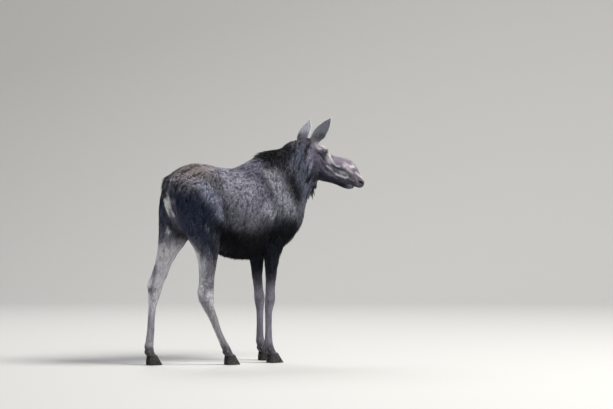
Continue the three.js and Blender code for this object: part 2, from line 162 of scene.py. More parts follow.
hide = take_copy(FLESH + SEATED, "hide")
hide.data.remesh_voxel_size = SKIN_GRAIN
bpy.ops.object.voxel_remesh()

# The flats of the solids are drawn smooth, most over the barrel and least where bones lie close.
places = vertices_of(hide)
barrel = ramp(places[:, 2], 0.86, 1.06) * (1 - headward(places, -0.10, 0.02))
tail_keep = 1 - ramp(-places[:, 0], 0.86, 0.885) * (np.abs(places[:, 1]) < 0.05)
wide = weigh(hide, "wide", barrel * tail_keep)
apply_modifier(hide, "SMOOTH", factor=1.0, iterations=BODY_ROUNDS, vertex_group=wide)
places = vertices_of(hide)
upright = ramp(places[:, 2], 1.84, 1.90) * ramp(in_head(places)[:, 2], 0.03, 0.08)
limbs = (0.45 - 0.34 * upright) * ramp(places[:, 2], 0.06, 0.12)
close = weigh(hide, "close", limbs)
apply_modifier(hide, "SMOOTH", factor=1.0, iterations=LIMB_ROUNDS, vertex_group=close)

# Then it is thinned to large facets on the body and small ones on the head, ears and feet.
places = vertices_of(hide)
fine = np.maximum(headward(places, -0.10, 0.0), 0.35 * (1 - ramp(places[:, 2], 0.3, 0.7)))
coarse = weigh(hide, "coarse", 1 - 0.97 * fine)
ratio = SKIN_FACETS / (len(hide.data.polygons) * 2)
apply_modifier(hide, "DECIMATE", ratio=ratio, vertex_group=coarse, vertex_group_factor=1.0)
hide.vertex_groups.clear()

# Facets round the eyes, nostrils and lips are cut finer, for the lids and folds there.
EYE_CENTRE = np.array([EYE_FORWARD, 0.088, EYE_UP])
NOSTRIL = np.array([0.582, 0.072, -0.026])
LIP_LINE = [(0.355, 0.056, -0.114), (0.40, 0.061, -0.105), (0.45, 0.067, -0.094),
            (0.50, 0.068, -0.085), (0.56, 0.064, -0.083), (0.605, 0.040, -0.082),
            (0.628, 0.0, -0.080)]


def off_line(points, line):
    """The distance from each point to a bent line."""
    nearest = np.full(len(points), 9.0)
    line = np.array(line)
    for start, stop in zip(line[:-1], line[1:]):
        run = stop - start
        share = np.clip(((points - start) @ run) / max(run @ run, 1e-12), 0, 1)
        nearest = np.minimum(nearest, np.linalg.norm(points - start - share[:, None] * run, axis=1))
    return nearest


def fold_sides(points, squash=1.0):
    """The same places with her right side laid on her left, and squashed sideways."""
    return np.column_stack([points[:, 0], squash * np.abs(points[:, 1]), points[:, 2]])


def off_side_line(points, line, aside):
    """The distance to a line on her side. One that lies further out than aside is measured mostly
    in side view, so that it needn't lie quite on the skin."""
    squash = 0.25 if min(abs(p[1]) for p in line) > aside else 1.0
    return off_line(fold_sides(points, squash), np.array(line) * [1, squash, 1])


def cut_finer(piece, near, cuts):
    """Subdivides the faces that have all their corners in near."""
    make_active(piece)
    bpy.ops.object.mode_set(mode="EDIT")
    bpy.ops.mesh.select_mode(type="VERT")
    bpy.ops.mesh.select_all(action="DESELECT")
    bpy.ops.object.mode_set(mode="OBJECT")
    piece.data.vertices.foreach_set("select", near)
    bpy.ops.object.mode_set(mode="EDIT")
    bpy.ops.mesh.select_mode(type="FACE")
    bpy.ops.mesh.subdivide(number_cuts=cuts)
    bpy.ops.object.mode_set(mode="OBJECT")


folded = fold_sides(in_head(vertices_of(hide)))
near_face = np.linalg.norm(folded - NOSTRIL, axis=1) < 0.055
near_face |= off_side_line(in_head(vertices_of(hide)), LIP_LINE[:5], 0.04) < 0.018
near_face |= off_line(folded, LIP_LINE) < 0.018
near_face |= np.linalg.norm(folded - EYE_CENTRE, axis=1) < 0.044
cut_finer(hide, near_face, 1)
folded = fold_sides(in_head(vertices_of(hide)))
cut_finer(hide, np.linalg.norm(folded - EYE_CENTRE, axis=1) < 0.034, 1)

# Which part of the body each point of the hide covers, shading into the next over some centimetres.
REGIONS = ["trunk", "neck", "head", "ear", "bell", "tail", "thigh", "shoulder", "gaskin",
           "forearm", "foreleg", "cannon", "pastern"]


def region_of(name):
    """The place in REGIONS of the body part that a node is."""
    words = name.split("_")
    if words[0] == "foreleg" and words[-1] == "cannon":
        return REGIONS.index("foreleg")
    known = (word for word in reversed(words) if word in REGIONS and word != "foreleg")
    return REGIONS.index(next(known))


corners, triangles, labels = [], [], []
for n in FLESH:
    start = len(corners)
    corners += [tuple(v.co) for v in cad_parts[n].data.vertices]
    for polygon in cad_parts[n].data.polygons:
        triangles.append([start + i for i in polygon.vertices])
        labels.append(region_of(n))
solids = BVHTree.FromPolygons(corners, triangles)


def edges_of(piece):
    """The two ends of each of its edges."""
    flat = np.empty(len(piece.data.edges) * 2, dtype=np.int32)
    piece.data.edges.foreach_get("vertices", flat)
    return flat.reshape(-1, 2)


def spread(values, edges, rounds):
    """Each value moves towards the mean of its neighbours, again and again."""
    count = np.bincount(edges.ravel(), minlength=len(values)).clip(1)
    for _ in range(rounds):
        summed = np.bincount(edges[:, 0], values[edges[:, 1]], len(values))
        summed += np.bincount(edges[:, 1], values[edges[:, 0]], len(values))
        values = 0.4 * values + 0.6 * summed / count
    return values


places = vertices_of(hide)
found = np.array([labels[solids.find_nearest(p)[2]] for p in places.tolist()])
edges = edges_of(hide)
share = {}
for i, word in enumerate(REGIONS):
    rounds = {"ear": 4, "tail": 4, "bell": 6, "head": 70, "neck": 70}.get(word, 25)
    share[word] = spread((found == i).astype(float), edges, rounds)
total = sum(share.values())
share = {word: value / total for word, value in share.items()}

# The hide lies under the tips of the coat by the coat's depth, in metres.
COAT_DEPTH = {"trunk": 0.016, "neck": 0.018, "head": 0.0045, "ear": 0.0015, "bell": 0.014,
              "tail": 0.009, "thigh": 0.013, "shoulder": 0.014, "gaskin": 0.008,
              "forearm": 0.009, "foreleg": 0.0045, "cannon": 0.0045, "pastern": 0.004}
depth = sum(COAT_DEPTH[word] * share[word] for word in REGIONS)
crest = ramp(places[:, 0], 0.0, 0.12) * (1 - ramp(places[:, 0], 0.30, 0.42))
crest *= ramp(places[:, 2], 1.55, 1.72) * (1 - ramp(np.abs(places[:, 1]), 0.03, 0.13))
depth -= 0.013 * crest
coronet = 1 - ramp(places[:, 2], 0.078, 0.11)
depth *= 1 - coronet
move_vertices(hide, places - normals_of(hide) * depth[:, None])
apply_modifier(hide, "SMOOTH", factor=0.5, iterations=2)

# Bones and muscles stand out through it, creases and hollows sink in. Each is a place or a line on
# her left side, how wide it is and how far it stands, in metres.
FORMS = [
    ((-0.455, 0.17, 1.672), (0.050, 0.05, 0.035), 0.020),  # hook bone
    ((-0.845, 0.07, 1.56), (0.05, 0.04, 0.05), 0.010),  # pin bone
    ((-0.36, 0.26, 1.55), (0.08, 0.10, 0.09), -0.020),  # hollow of the flank
    ((-0.58, 0.26, 1.38), (0.07, 0.10, 0.17), 0.014),  # haunch
    ((0.19, 0.25, 1.33), (0.09, 0.10, 0.15), 0.010),  # shoulder
    ((-0.16, 0.30, 1.15), (0.25, 0.12, 0.12), 0.008),  # paunch
    ((0.02, 0.26, 1.50), (0.035, 0.06, 0.08), -0.014),  # hollow behind the shoulder blade
    ((0.36, 0.12, 1.30), (0.06, 0.06, 0.07), 0.012),  # point of the shoulder
]
LINES = [
    ([(-0.46, 0.17, 1.65), (-0.495, 0.25, 1.56), (-0.47, 0.27, 1.47), (-0.465, 0.28, 1.35),
      (-0.43, 0.26, 1.20)], 0.030, -0.024),  # crease in front of the thigh
    ([(0.13, 0.10, 1.76), (0.24, 0.16, 1.62), (0.36, 0.17, 1.42), (0.40, 0.13, 1.25)],
     0.040, -0.020),  # between neck and shoulder
    ([(-0.02, 0.22, 1.62), (0.00, 0.27, 1.45), (0.02, 0.28, 1.25), (0.0, 0.22, 1.04)],
     0.032, -0.016),  # behind the shoulder
    ([(-0.80, 0.13, 1.45), (-0.76, 0.17, 1.25), (-0.70, 0.20, 1.05)], 0.022, -0.008),  # hamstring
    ([(-0.30, 0.02, 1.72), (0.05, 0.02, 1.72)], 0.03, 0.006),  # spine
    ([(-0.855, 0.050, 1.63), (-0.885, 0.055, 1.56), (-0.90, 0.050, 1.48)],
     0.016, -0.014),  # beside the tail
    ([(-0.91, 0.0, 1.46), (-0.91, 0.0, 1.30), (-0.88, 0.0, 1.16)],
     0.034, -0.024),  # between the buttocks
    ([(-0.654, 0.26, 1.23), (-0.566, 0.27, 1.14), (-0.518, 0.24, 1.04), (-0.53, 0.20, 0.93)],
     0.020, 0.008),  # stifle, down to the shin
    ([(0.10, 0.20, 1.66), (0.13, 0.26, 1.50), (0.21, 0.26, 1.36)],
     0.030, 0.007),  # spine of the blade
]
LINES += [
    ([(-0.27 + 0.058 * i, 0.26, 1.52), (-0.33 + 0.058 * i, 0.30, 1.18)], 0.017, 0.0022)
    for i in range(7)
]  # ribs
places = vertices_of(hide)
folded = fold_sides(places)
rise = np.zeros(len(places))
for centre, reach, stands in FORMS:
    rise += stands * bump(folded, np.array(centre), np.array(reach))
for line, wide_by, stands in LINES:
    rise += stands * np.exp(-((off_side_line(places, line, 0.12) / wide_by) ** 2))
rise *= 1 - headward(places, -0.05, 0.05)
move_vertices(hide, places + normals_of(hide) * rise[:, None])

# The face: brow, cheek, the long flat side of the nose, lips and nostrils, in the head's axes. The
# first four lines show in the coat too.
EYE_FOLD = [(0.100, 0.092, -0.058), (0.144, 0.088, -0.057), (0.194, 0.08, -0.075)]
MUZZLE_GROOVE = [(0.476, 0.066, 0.033), (0.496, 0.068, 0.010), (0.519, 0.07, -0.021)]
NOSTRIL_LIP = [(0.523, 0.072, -0.028), (0.549, 0.07, -0.047), (0.591, 0.06, -0.065)]
NOSTRIL_SLIT = [(0.622, 0.059, -0.028), (0.602, 0.068, -0.032), (0.580, 0.075, -0.038)]
NOSTRIL_DEPTH, NOSTRIL_WIDTH = 0.0170, 0.0080  # m
MOUTH_DEPTH, MOUTH_WIDTH = 0.0080, 0.0055  # m
FACE = [
    ((0.135, 0.072, 0.030), (0.040, 0.024, 0.016), 0.004),  # brow
    ((0.150, 0.085, -0.012), (0.050, 0.040, 0.038), 0.0065),  # rim of the orbit
    ((0.225, 0.065, -0.045), (0.030, 0.030, 0.022), -0.005),  # hollow in front of the eye
    ((0.13, 0.085, -0.125), (0.060, 0.040, 0.055), 0.008),  # cheek
    ((0.50, 0.070, 0.010), (0.060, 0.030, 0.035), 0.004),  # side of the nose
    ((0.575, 0.078, -0.020), (0.034, 0.030, 0.026), 0.006),  # wing of the nostril
    ((0.46, 0.060, -0.072), (0.080, 0.030, 0.016), 0.004),  # upper lip
    ((0.50, 0.045, -0.125), (0.060, 0.030, 0.022), 0.005),  # lower lip
]
FACE_LINES = [
    (EYE_FOLD, 0.009, -0.006),  # fold under the eye
    ([(0.248, 0.072, -0.098), (0.289, 0.072, -0.098), (0.335, 0.068, -0.101)],
     0.010, 0.0055),  # cheekbone
    ([(0.346, 0.066, -0.104), (0.404, 0.062, -0.088), (0.461, 0.068, -0.074)],
     0.009, 0.0045),  # edge of the lip
    ([(0.25, 0.07, -0.126), (0.33, 0.06, -0.122)], 0.013, -0.005),  # under the cheekbone
    ([(0.29, 0.066, -0.071), (0.333, 0.065, -0.067), (0.37, 0.064, -0.055), (0.41, 0.066, -0.036)],
     0.011, -0.0065),  # hollow under the nose bone
    ([(0.267, 0.068, -0.040), (0.298, 0.066, -0.047), (0.324, 0.066, -0.047),
      (0.36, 0.066, -0.032)], 0.010, 0.0040),  # muscle of the nose
    ([(0.33, 0.064, -0.085), (0.38, 0.064, -0.080), (0.43, 0.066, -0.062)],
     0.013, 0.0040),  # muscle of the lip
    (MUZZLE_GROOVE, 0.010, -0.0040),  # groove round the muzzle
    (NOSTRIL_LIP, 0.007, 0.003),  # edge of the lip under the nostril
    ([(0.32, 0.045, -0.128), (0.42, 0.045, -0.115)], 0.012, -0.004),  # under the lower lip
]
places = vertices_of(hide)
head_places = in_head(places)
folded = fold_sides(head_places)
rise = np.zeros(len(places))
for centre, reach, stands in FACE:
    rise += stands * bump(folded, np.array(centre), np.array(reach))
for line, wide_by, stands in FACE_LINES:
    rise += stands * np.exp(-((off_side_line(head_places, line, 0.04) / wide_by) ** 2))
lip_line = off_side_line(head_places, LIP_LINE[:5], 0.04)
lip_line = np.minimum(lip_line, off_line(folded, LIP_LINE))
rise -= MOUTH_DEPTH * np.exp(-((lip_line / MOUTH_WIDTH) ** 2))
slit = off_side_line(head_places, NOSTRIL_SLIT, 0.04)
rise -= NOSTRIL_DEPTH * np.exp(-((slit / NOSTRIL_WIDTH) ** 2))
rise *= headward(places, -0.05, 0.05)
move_vertices(hide, places + normals_of(hide) * rise[:, None])

# The lids: the hide is drawn over the eyeball, and dips behind it inside the almond of the lids.
EYE_RADIUS = 0.019
SOCKET_RADIUS, LID_RADIUS, LID_ROLL = 0.0158, 0.0205, 0.0014  # m, behind the globe and over it
LID_HALF_LENGTH, UPPER_LID, LOWER_LID = 0.0178, 0.0120, 0.0100  # m, the opening between them
head_places = in_head(vertices_of(hide))
EYE_SIDES = []
for side in (1, -1):
    outward = Vector((0.30, 0.94 * side, 0.10)).normalized()
    along = Vector((0.95, -0.25 * side, -0.18))
    along = (along - outward * along.dot(outward)).normalized()
    above = along.cross(outward) * -side  # this mirrors her right globe, faces inwards
    EYE_SIDES.append((outward, along, above))
    off = head_places - EYE_CENTRE * [1, side, 1]
    reach = np.linalg.norm(off, axis=1).clip(1e-6)
    ball_a = EYE_RADIUS * (off @ np.array(along)) / reach
    ball_b = EYE_RADIUS * (off @ np.array(above)) / reach
    facing = (off @ np.array(outward)) / reach
    drawn = 1 - ramp(np.hypot(ball_a / 0.0185, ball_b / 0.0165), 0.85, 1.03)
    drawn *= ramp(facing, 0.0, 0.2) * (reach < 0.05)
    half_height = np.where(ball_b > 0, UPPER_LID, LOWER_LID)
    opening = half_height * np.clip(1 - (ball_a / LID_HALF_LENGTH) ** 2, 0, 1) ** 0.7
    outside = ramp(np.abs(ball_b) - opening, -0.0004, 0.0009)
    margin = np.exp(-(((np.abs(ball_b) - opening - 0.0016) / 0.0016) ** 2))
    lid = SOCKET_RADIUS + (LID_RADIUS + LID_ROLL * margin - SOCKET_RADIUS) * outside
    head_places += off * ((reach * (1 - drawn) + lid * drawn) / reach - 1)[:, None]
move_vertices(hide, out_of_head(head_places))
make_active(hide)
bpy.ops.object.shade_smooth()
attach(hide, "root")
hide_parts(*FLESH)

# The hide unwrapped, for the places of the tufts on it.
bpy.ops.object.mode_set(mode="EDIT")
bpy.ops.mesh.select_all(action="SELECT")
bpy.ops.uv.smart_project(angle_limit=radians(70), island_margin=0.002, area_weight=0.0)
bpy.ops.object.mode_set(mode="OBJECT")
hide.data.uv_layers.active.name = "OFBake"

# ---------------------------------------------------------------- markings
# An early autumn coat: blue-black hair with grey tips on the barrel, brown on the croup, black
# along the mane and underside, pale grey legs, and a face that pales along the nose and lips.
# Some marks are painted light: painted shade in creases and hollows, mouth and nostrils, on the
# haunch, jaw and underside, and painted highlights on the nose and on the edges of cheek and lip.


def from_hex(colour):
    """A colour from its sRGB hex value to linear light."""
    value = np.array([int(colour[i : i + 2], 16) / 255 for i in (0, 2, 4)])
    return np.where(value <= 0.04045, value / 12.92, ((value + 0.055) / 1.055) ** 2.4)


BASE_COAT = {"trunk": "55555f", "neck": "3b3e4c", "head": "5b5864", "ear": "64676f",
             "bell": "15171f", "tail": "232125", "thigh": "2a3044", "shoulder": "2c303d",
             "gaskin": "7b7882", "forearm": "0f131f", "foreleg": "777382", "cannon": "7d7982",
             "pastern": "56535b"}
BODY_MARKS = [  # colour, a place or a line on her left side, its reach in metres, its strength
    ("6c6361", [(-0.76, 0.08, 1.66), (-0.52, 0.10, 1.68)], 0.11, 0.9),  # croup
    ("666a78", [(-0.86, 0.05, 1.58)], 0.06, 0.7),  # root of the tail
    # Dark coat with painted shade on the haunch, the side turned from the light.
    ("141d30", [(-0.87, 0.22, 1.43), (-0.76, 0.25, 1.41), (-0.68, 0.26, 1.35), (-0.64, 0.26, 1.24),
                (-0.60, 0.26, 1.14)], 0.125, 0.95),  # haunch
    ("756f7d", [(-0.72, 0.20, 1.60), (-0.64, 0.24, 1.535)], 0.040, 0.6),  # under the croup
    ("686c80", [(-0.65, 0.25, 1.52), (-0.604, 0.26, 1.465), (-0.554, 0.27, 1.414),
                (-0.51, 0.28, 1.345), (-0.489, 0.28, 1.302)], 0.046, 0.85),  # front of the thigh
    # Painted shade in the grooves beside the tail.
    ("1c1f29", [(-0.90, 0.08, 1.52), (-0.82, 0.12, 1.61)], 0.020, 0.7),  # beside the tail
    ("66677b", [(-0.945, 0.10, 1.405), (-0.950, 0.10, 1.30), (-0.940, 0.10, 1.19)],
     0.062, 0.8),  # far buttock
    ("7c7f90", [(-0.649, 0.27, 1.211), (-0.598, 0.27, 1.161), (-0.544, 0.25, 1.097),
                (-0.51, 0.22, 1.043), (-0.503, 0.20, 0.991)], 0.018, 0.6),  # stifle
    ("454752", [(-0.74, 0.22, 1.08), (-0.70, 0.20, 1.00)], 0.060, 0.6),  # back of the gaskin
    ("787785", [(-0.38, 0.24, 1.62), (-0.24, 0.28, 1.48)], 0.12, 0.9),  # flank
    ("5c5b68", [(-0.25, 0.29, 1.36), (-0.06, 0.27, 1.58)], 0.12, 0.8),  # ribs
    ("82818f", [(-0.249, 0.22, 1.595), (-0.206, 0.25, 1.569), (-0.168, 0.27, 1.517)],
     0.060, 0.6),  # top of the ribs
    ("777782", [(0.06, 0.20, 1.67), (0.11, 0.24, 1.52), (0.19, 0.24, 1.36)],
     0.074, 0.9),  # shoulder blade
    ("6d665f", [(0.06, 0.16, 1.70), (0.12, 0.17, 1.66)], 0.040, 0.6),  # top of the blade
    ("33344a", [(-0.124, 0.20, 1.66), (-0.053, 0.20, 1.643), (0.0, 0.21, 1.612)],
     0.033, 0.75),  # behind the withers
    # Painted shade in the crease behind the shoulder.
    ("0c0f18", [(-0.015, 0.25, 1.60), (0.0, 0.27, 1.545), (0.03, 0.27, 1.48)],
     0.035, 0.95),  # behind the shoulder
    ("8b8b98", [(-0.036, 0.27, 1.362), (0.025, 0.27, 1.302)], 0.060, 0.7),  # behind the elbow
    ("262d3a", [(-0.60, 0.26, 1.12), (-0.56, 0.24, 1.02)], 0.060, 0.6),  # above the knee
    # Black hair and painted shade: the groove between neck and shoulder, darkened as in shadow.
    ("010204", [(0.09, 0.12, 1.80), (0.15, 0.12, 1.775), (0.215, 0.13, 1.71), (0.27, 0.15, 1.638),
                (0.310, 0.16, 1.552), (0.335, 0.16, 1.474)],
     0.076, 1.0),  # band down the front of the shoulder
    ("05060a", [(0.12, 0.0, 1.80), (0.24, 0.0, 1.84), (0.30, 0.0, 1.885)], 0.095, 0.97),  # crest
    ("4e4b53", [(0.37, 0.03, 1.93), (0.44, 0.04, 1.955)], 0.050, 0.7),  # behind the poll
    ("7d7b96", [(-0.131, 0.08, 1.716), (-0.059, 0.08, 1.737), (0.0, 0.08, 1.75)],
     0.045, 0.85),  # back of the withers
    ("3a3536", [(-0.459, 0.15, 1.65), (-0.49, 0.22, 1.58)], 0.035, 0.75),  # edge of the croup
    # Painted shade in the hollow before the hip.
    ("2b2d3d", [(-0.515, 0.24, 1.517)], 0.036, 0.6),  # hollow before the hip
    # Painted shade: a black line along the crease in front of the thigh.
    ("05070c", [(-0.505, 0.24, 1.552), (-0.471, 0.25, 1.517), (-0.468, 0.27, 1.422),
                (-0.453, 0.27, 1.319)], 0.015, 0.85),  # crease in front of the thigh
    # Black hair and painted shade: where the flank turns down from the light into the underside.
    ("04050a", [(-0.599, 0.26, 1.225), (-0.497, 0.26, 1.205), (-0.412, 0.27, 1.155),
                (-0.290, 0.27, 1.105)], 0.050, 0.95),  # edge of the black underside
    ("545868", [(0.40, 0.14, 1.78), (0.44, 0.13, 1.60)], 0.055, 0.8),  # side of the neck
    ("74788a", [(0.47, 0.12, 1.84), (0.49, 0.12, 1.66)], 0.040, 0.75),  # behind the cheek
    ("464a5a", [(0.393, 0.12, 1.698), (0.424, 0.12, 1.621), (0.414, 0.12, 1.534)],
     0.040, 0.6),  # low on the neck
    ("0e0f18", [(0.53, 0.07, 1.65), (0.555, 0.06, 1.59), (0.58, 0.05, 1.54)], 0.048, 0.9),  # throat
    ("4a474e", [(-0.70, 0.06, 1.12), (-0.70, 0.08, 0.98)], 0.08, 0.8),  # inside of the thigh
]
LEG_MARKS = [  # the same, on the pale of the legs
    ("c9c5cf", [(-0.588, 0.16, 0.64), (-0.566, 0.16, 0.55)], 0.032, 0.8),  # front of the near hock
    ("34364a", [(-0.588, 0.16, 0.71), (-0.584, 0.16, 0.675)], 0.022, 0.8),  # above it
    ("a9adb4", [(-0.648, 0.16, 0.92), (-0.655, 0.16, 0.74), (-0.665, 0.16, 0.64)],
     0.022, 0.8),  # cord of the near hock
    ("8f8b91", [(-0.56, 0.16, 0.46), (-0.52, 0.16, 0.38), (-0.48, 0.16, 0.26)],
     0.036, 0.7),  # near cannon
    ("4b4a58", [(-0.910, 0.16, 0.875), (-0.938, 0.16, 0.755), (-0.958, 0.16, 0.69)],
     0.012, 0.8),  # cord of the far hock
    ("16141b", [(-0.985, 0.16, 0.665), (-0.932, 0.16, 0.672)],
     0.017, 0.97),  # dark tuft on the hock
    ("45434d", [(-0.962, 0.16, 0.65), (-0.950, 0.16, 0.57)], 0.013, 0.7),  # below it
    ("3c3c46", [(-0.922, 0.16, 0.45), (-0.928, 0.16, 0.30), (-0.940, 0.16, 0.18)],
     0.012, 0.8),  # front of the far cannon
]
HEAD_MARKS = [  # the same, in the head's axes
    ("4b4859", [(0.07, 0.09, -0.09), (0.17, 0.085, -0.13)], 0.060, 0.85),  # cheek
    ("393746", [(0.12, 0.09, -0.14), (0.20, 0.085, -0.145), (0.25, 0.075, -0.13)], 0.034, 0.8),
    ("7f7c90", [(0.061, 0.09, -0.126), (0.097, 0.09, -0.153)], 0.024, 0.6),  # behind the cheek
    ("77758a", [(0.02, 0.09, -0.04), (0.05, 0.09, -0.10)], 0.026, 0.6),  # below the ear
    # Dark hair and painted shade under the jaw, which faces down from the light.
    ("191c28", [(0.249, 0.07, -0.194), (0.329, 0.065, -0.175), (0.409, 0.06, -0.156),
                (0.483, 0.05, -0.141)], 0.044, 0.95),  # jaw
    ("14151f", [(0.174, 0.06, -0.226), (0.224, 0.06, -0.233)], 0.040, 0.9),  # throat
    ("ada7aa", [(0.047, 0.045, 0.006), (0.075, 0.055, 0.014), (0.105, 0.065, 0.015),
                (0.134, 0.07, 0.018)], 0.020, 0.85),  # forehead
    ("b5aaae", [(0.064, 0.07, -0.019), (0.089, 0.08, -0.022), (0.108, 0.086, -0.010)],
     0.010, 0.75),  # ridge over the temple
    # Painted shade in the hollow over the eye.
    ("57505a", [(0.09, 0.075, -0.004), (0.12, 0.08, 0.006)], 0.006, 0.6),  # hollow over the eye
    ("959396", [(0.190, 0.07, -0.020), (0.205, 0.075, -0.042), (0.251, 0.07, -0.056)],
     0.014, 0.75),  # below the corner of the eye
    ("b3b1b2", [(0.182, 0.07, 0.006), (0.208, 0.072, -0.004), (0.239, 0.07, -0.023),
                (0.267, 0.068, -0.040)], 0.0145, 0.9),  # in front of the eye
    ("a9a4aa", [(0.267, 0.068, -0.040), (0.298, 0.066, -0.047), (0.324, 0.066, -0.047),
                (0.35, 0.066, -0.035)], 0.0065, 0.85),  # muscle of the nose
    ("716a76", [(0.30, 0.0, 0.05), (0.38, 0.0, 0.08), (0.46, 0.0, 0.08)], 0.050, 0.9),  # bridge
    ("7a7180", [(0.283, 0.05, -0.002), (0.331, 0.05, 0.026), (0.39, 0.055, 0.036)],
     0.032, 0.95),  # side of the bridge
    # Painted highlight along the crown of the nose.
    ("9c9299", [(0.348, 0.02, 0.060), (0.41, 0.03, 0.070), (0.471, 0.03, 0.079)],
     0.010, 0.8),  # crown of the nose
    # Painted shade in the hollow under the nose bone.
    ("45434f", [(0.29, 0.066, -0.071), (0.333, 0.065, -0.067), (0.37, 0.064, -0.055),
                (0.400, 0.066, -0.040)], 0.0095, 0.85),  # hollow under the nose bone
    ("5b5763", [(0.318, 0.064, -0.030), (0.35, 0.064, -0.013)], 0.008, 0.6),  # beside the bridge
    # Painted highlight on the side of the nose, where it faces up to the light.
    ("a79ca3", [(0.385, 0.066, 0.005), (0.435, 0.066, 0.029), (0.468, 0.05, 0.050)], 0.019, 0.8),
    ("c9bfc4", [(0.430, 0.066, 0.022), (0.462, 0.055, 0.042)], 0.009, 0.6),  # pale side of the nose
    ("3b3a46", [(0.300, 0.066, -0.088), (0.339, 0.066, -0.090), (0.365, 0.064, -0.078)],
     0.010, 0.8),  # above the corner of the mouth
    ("a89fa5", [(0.42, 0.066, -0.006), (0.474, 0.068, -0.009)],
     0.011, 0.7),  # muscle behind the nostril
    ("7e808a", [(0.392, 0.064, -0.072), (0.430, 0.066, -0.060)],
     0.0135, 0.8),  # side of the lip
    ("5f555c", [(0.444, 0.07, -0.052), (0.482, 0.07, -0.041)], 0.020, 0.8),  # behind the nostril
    # Painted shade: a dark dimple behind the nostril.
    ("2a242c", [(0.473, 0.07, -0.051), (0.483, 0.07, -0.049)], 0.006, 0.8),  # dimple in it
    ("5d5358", MUZZLE_GROOVE, 0.009, 0.75),  # groove round the muzzle
    ("4a4046", [(0.60, 0.03, -0.030), (0.60, 0.02, -0.06)], 0.030, 0.8),  # muzzle
    ("1b1a24", EYE_FOLD, 0.0085, 0.85),  # fold under the eye
    # Painted highlights: pale lines along the raised edges of the cheek and the lip.
    ("c4c6d0", [(0.248, 0.072, -0.098), (0.289, 0.072, -0.098), (0.318, 0.07, -0.099),
                (0.346, 0.066, -0.104), (0.369, 0.062, -0.101)], 0.0070, 0.85),  # edge of the cheek
    ("eeeef4", [(0.369, 0.062, -0.105), (0.404, 0.062, -0.095), (0.429, 0.064, -0.089),
                (0.461, 0.068, -0.081)], 0.0090, 0.92),  # edge of the lip
    ("8f8995", [(0.461, 0.068, -0.074), (0.501, 0.07, -0.067), (0.531, 0.07, -0.063)],
     0.0060, 0.85),  # upper lip
    # Painted shade in the slit between the lips.
    ("0f1017", [(0.373, 0.06, -0.121), (0.402, 0.06, -0.114), (0.433, 0.06, -0.110),
                (0.473, 0.064, -0.105), (0.523, 0.066, -0.097), (0.570, 0.06, -0.088)],
     0.0090, 0.95),  # mouth
    ("3a3138", [(0.519, 0.068, -0.084), (0.547, 0.068, -0.078)],
     0.013, 0.85),  # corner of the muzzle
    ("a89d9f", [(0.509, 0.06, 0.009), (0.552, 0.055, 0.007), (0.596, 0.045, 0.002)],
     0.0125, 0.85),  # upper rim of the nostril
    ("8a7688", NOSTRIL_LIP, 0.0060, 0.85),  # edge of the lip under the nostril
    # Painted shade: near black inside the nostril's slit.
    ("050407", NOSTRIL_SLIT, 0.0090, 1.0),  # nostril
    ("1a181f", [(-0.04, 0.0, 0.0), (-0.02, 0.03, 0.02), (0.01, 0.05, 0.03)],
     0.050, 0.85),  # between the ears
    ("121118", [(-0.008, 0.07, -0.020), (-0.008, 0.07, -0.038), (0.004, 0.08, -0.071),
                (0.015, 0.08, -0.095)], 0.021, 0.92),  # under the ear
    ("1d1a1a", [(EYE_FORWARD, 0.100, EYE_UP)], 0.0190, 0.95),  # lids
]


def blended(colours, places, marks, aside):
    """The colours with each mark laid over them where it reaches, with a ragged edge."""
    for colour, line, reach, strength in marks:
        away = off_side_line(places, line if len(line) > 1 else line * 2, aside) * ragged
        cover = strength * np.exp(-((away / reach) ** 2.4))[:, None]
        colours = colours * (1 - cover) + from_hex(colour) * cover
    return colours


RAGGED_SEED = 11
hide_places = vertices_of(hide)
hide_normals = normals_of(hide)
folded = fold_sides(hide_places)
chance = np.random.default_rng(RAGGED_SEED)
ragged = spread(chance.standard_normal(len(hide_places)), edges, 5)
ragged = 1 + 0.22 * ragged / ragged.std()
heights = hide_places[:, 2]
legs = share["forearm"] + share["foreleg"]
feet = share["pastern"] * ramp(heights, 0.10, 0.26)
base = dict(share, forearm=legs * ramp(heights, 0.57, 0.84), pastern=share["pastern"] - feet)
base["foreleg"] = legs - base["forearm"] + feet * (hide_places[:, 0] > -0.2)
base["cannon"] = share["cannon"] + feet * (hide_places[:, 0] < -0.2)
colours = sum(from_hex(BASE_COAT[word]) * base[word][:, None] for word in REGIONS)
on_head = (headward(hide_places, -0.10, 0.0) * (1 - share["ear"]))[:, None]

body_colours = blended(colours, hide_places, BODY_MARKS, 0.12)

# The underside is black from elbow to groin, and so is the front of the brisket. It is black hair
# with painted shade, darkest below a height.
under = share["trunk"] + share["shoulder"] + share["thigh"] * ramp(-folded[:, 0], 0.66, 0.50)
under *= 1 - ramp(folded[:, 2] + 0.10 * ramp(-hide_places[:, 0], -0.2, 0.3), 1.17, 1.36)
body_colours += (from_hex("06070c") - body_colours) * (0.96 * under)[:, None]

# The hind legs are palest on their inner and rear sides, up to the groin, and darker in front of
# the shin and over the hock.
outer_side = hide_normals[:, 1] * np.sign(hide_places[:, 1])
pale = ramp(-0.75 * outer_side - 0.75 * hide_normals[:, 0], -0.35, 0.65)
shin = share["gaskin"] + share["cannon"] + share["thigh"] * (1 - ramp(heights, 0.96, 1.14))
body_colours += (from_hex("cbc6d2") - body_colours) * (0.92 * pale * shin)[:, None]
low_rear = share["cannon"] * (1 - ramp(heights, 0.35, 0.60)) * (hide_places[:, 0] < -0.7)
body_colours += (from_hex("77757d") - body_colours) * (0.75 * low_rear)[:, None]
body_colours = blended(body_colours, hide_places, LEG_MARKS, 0.12)

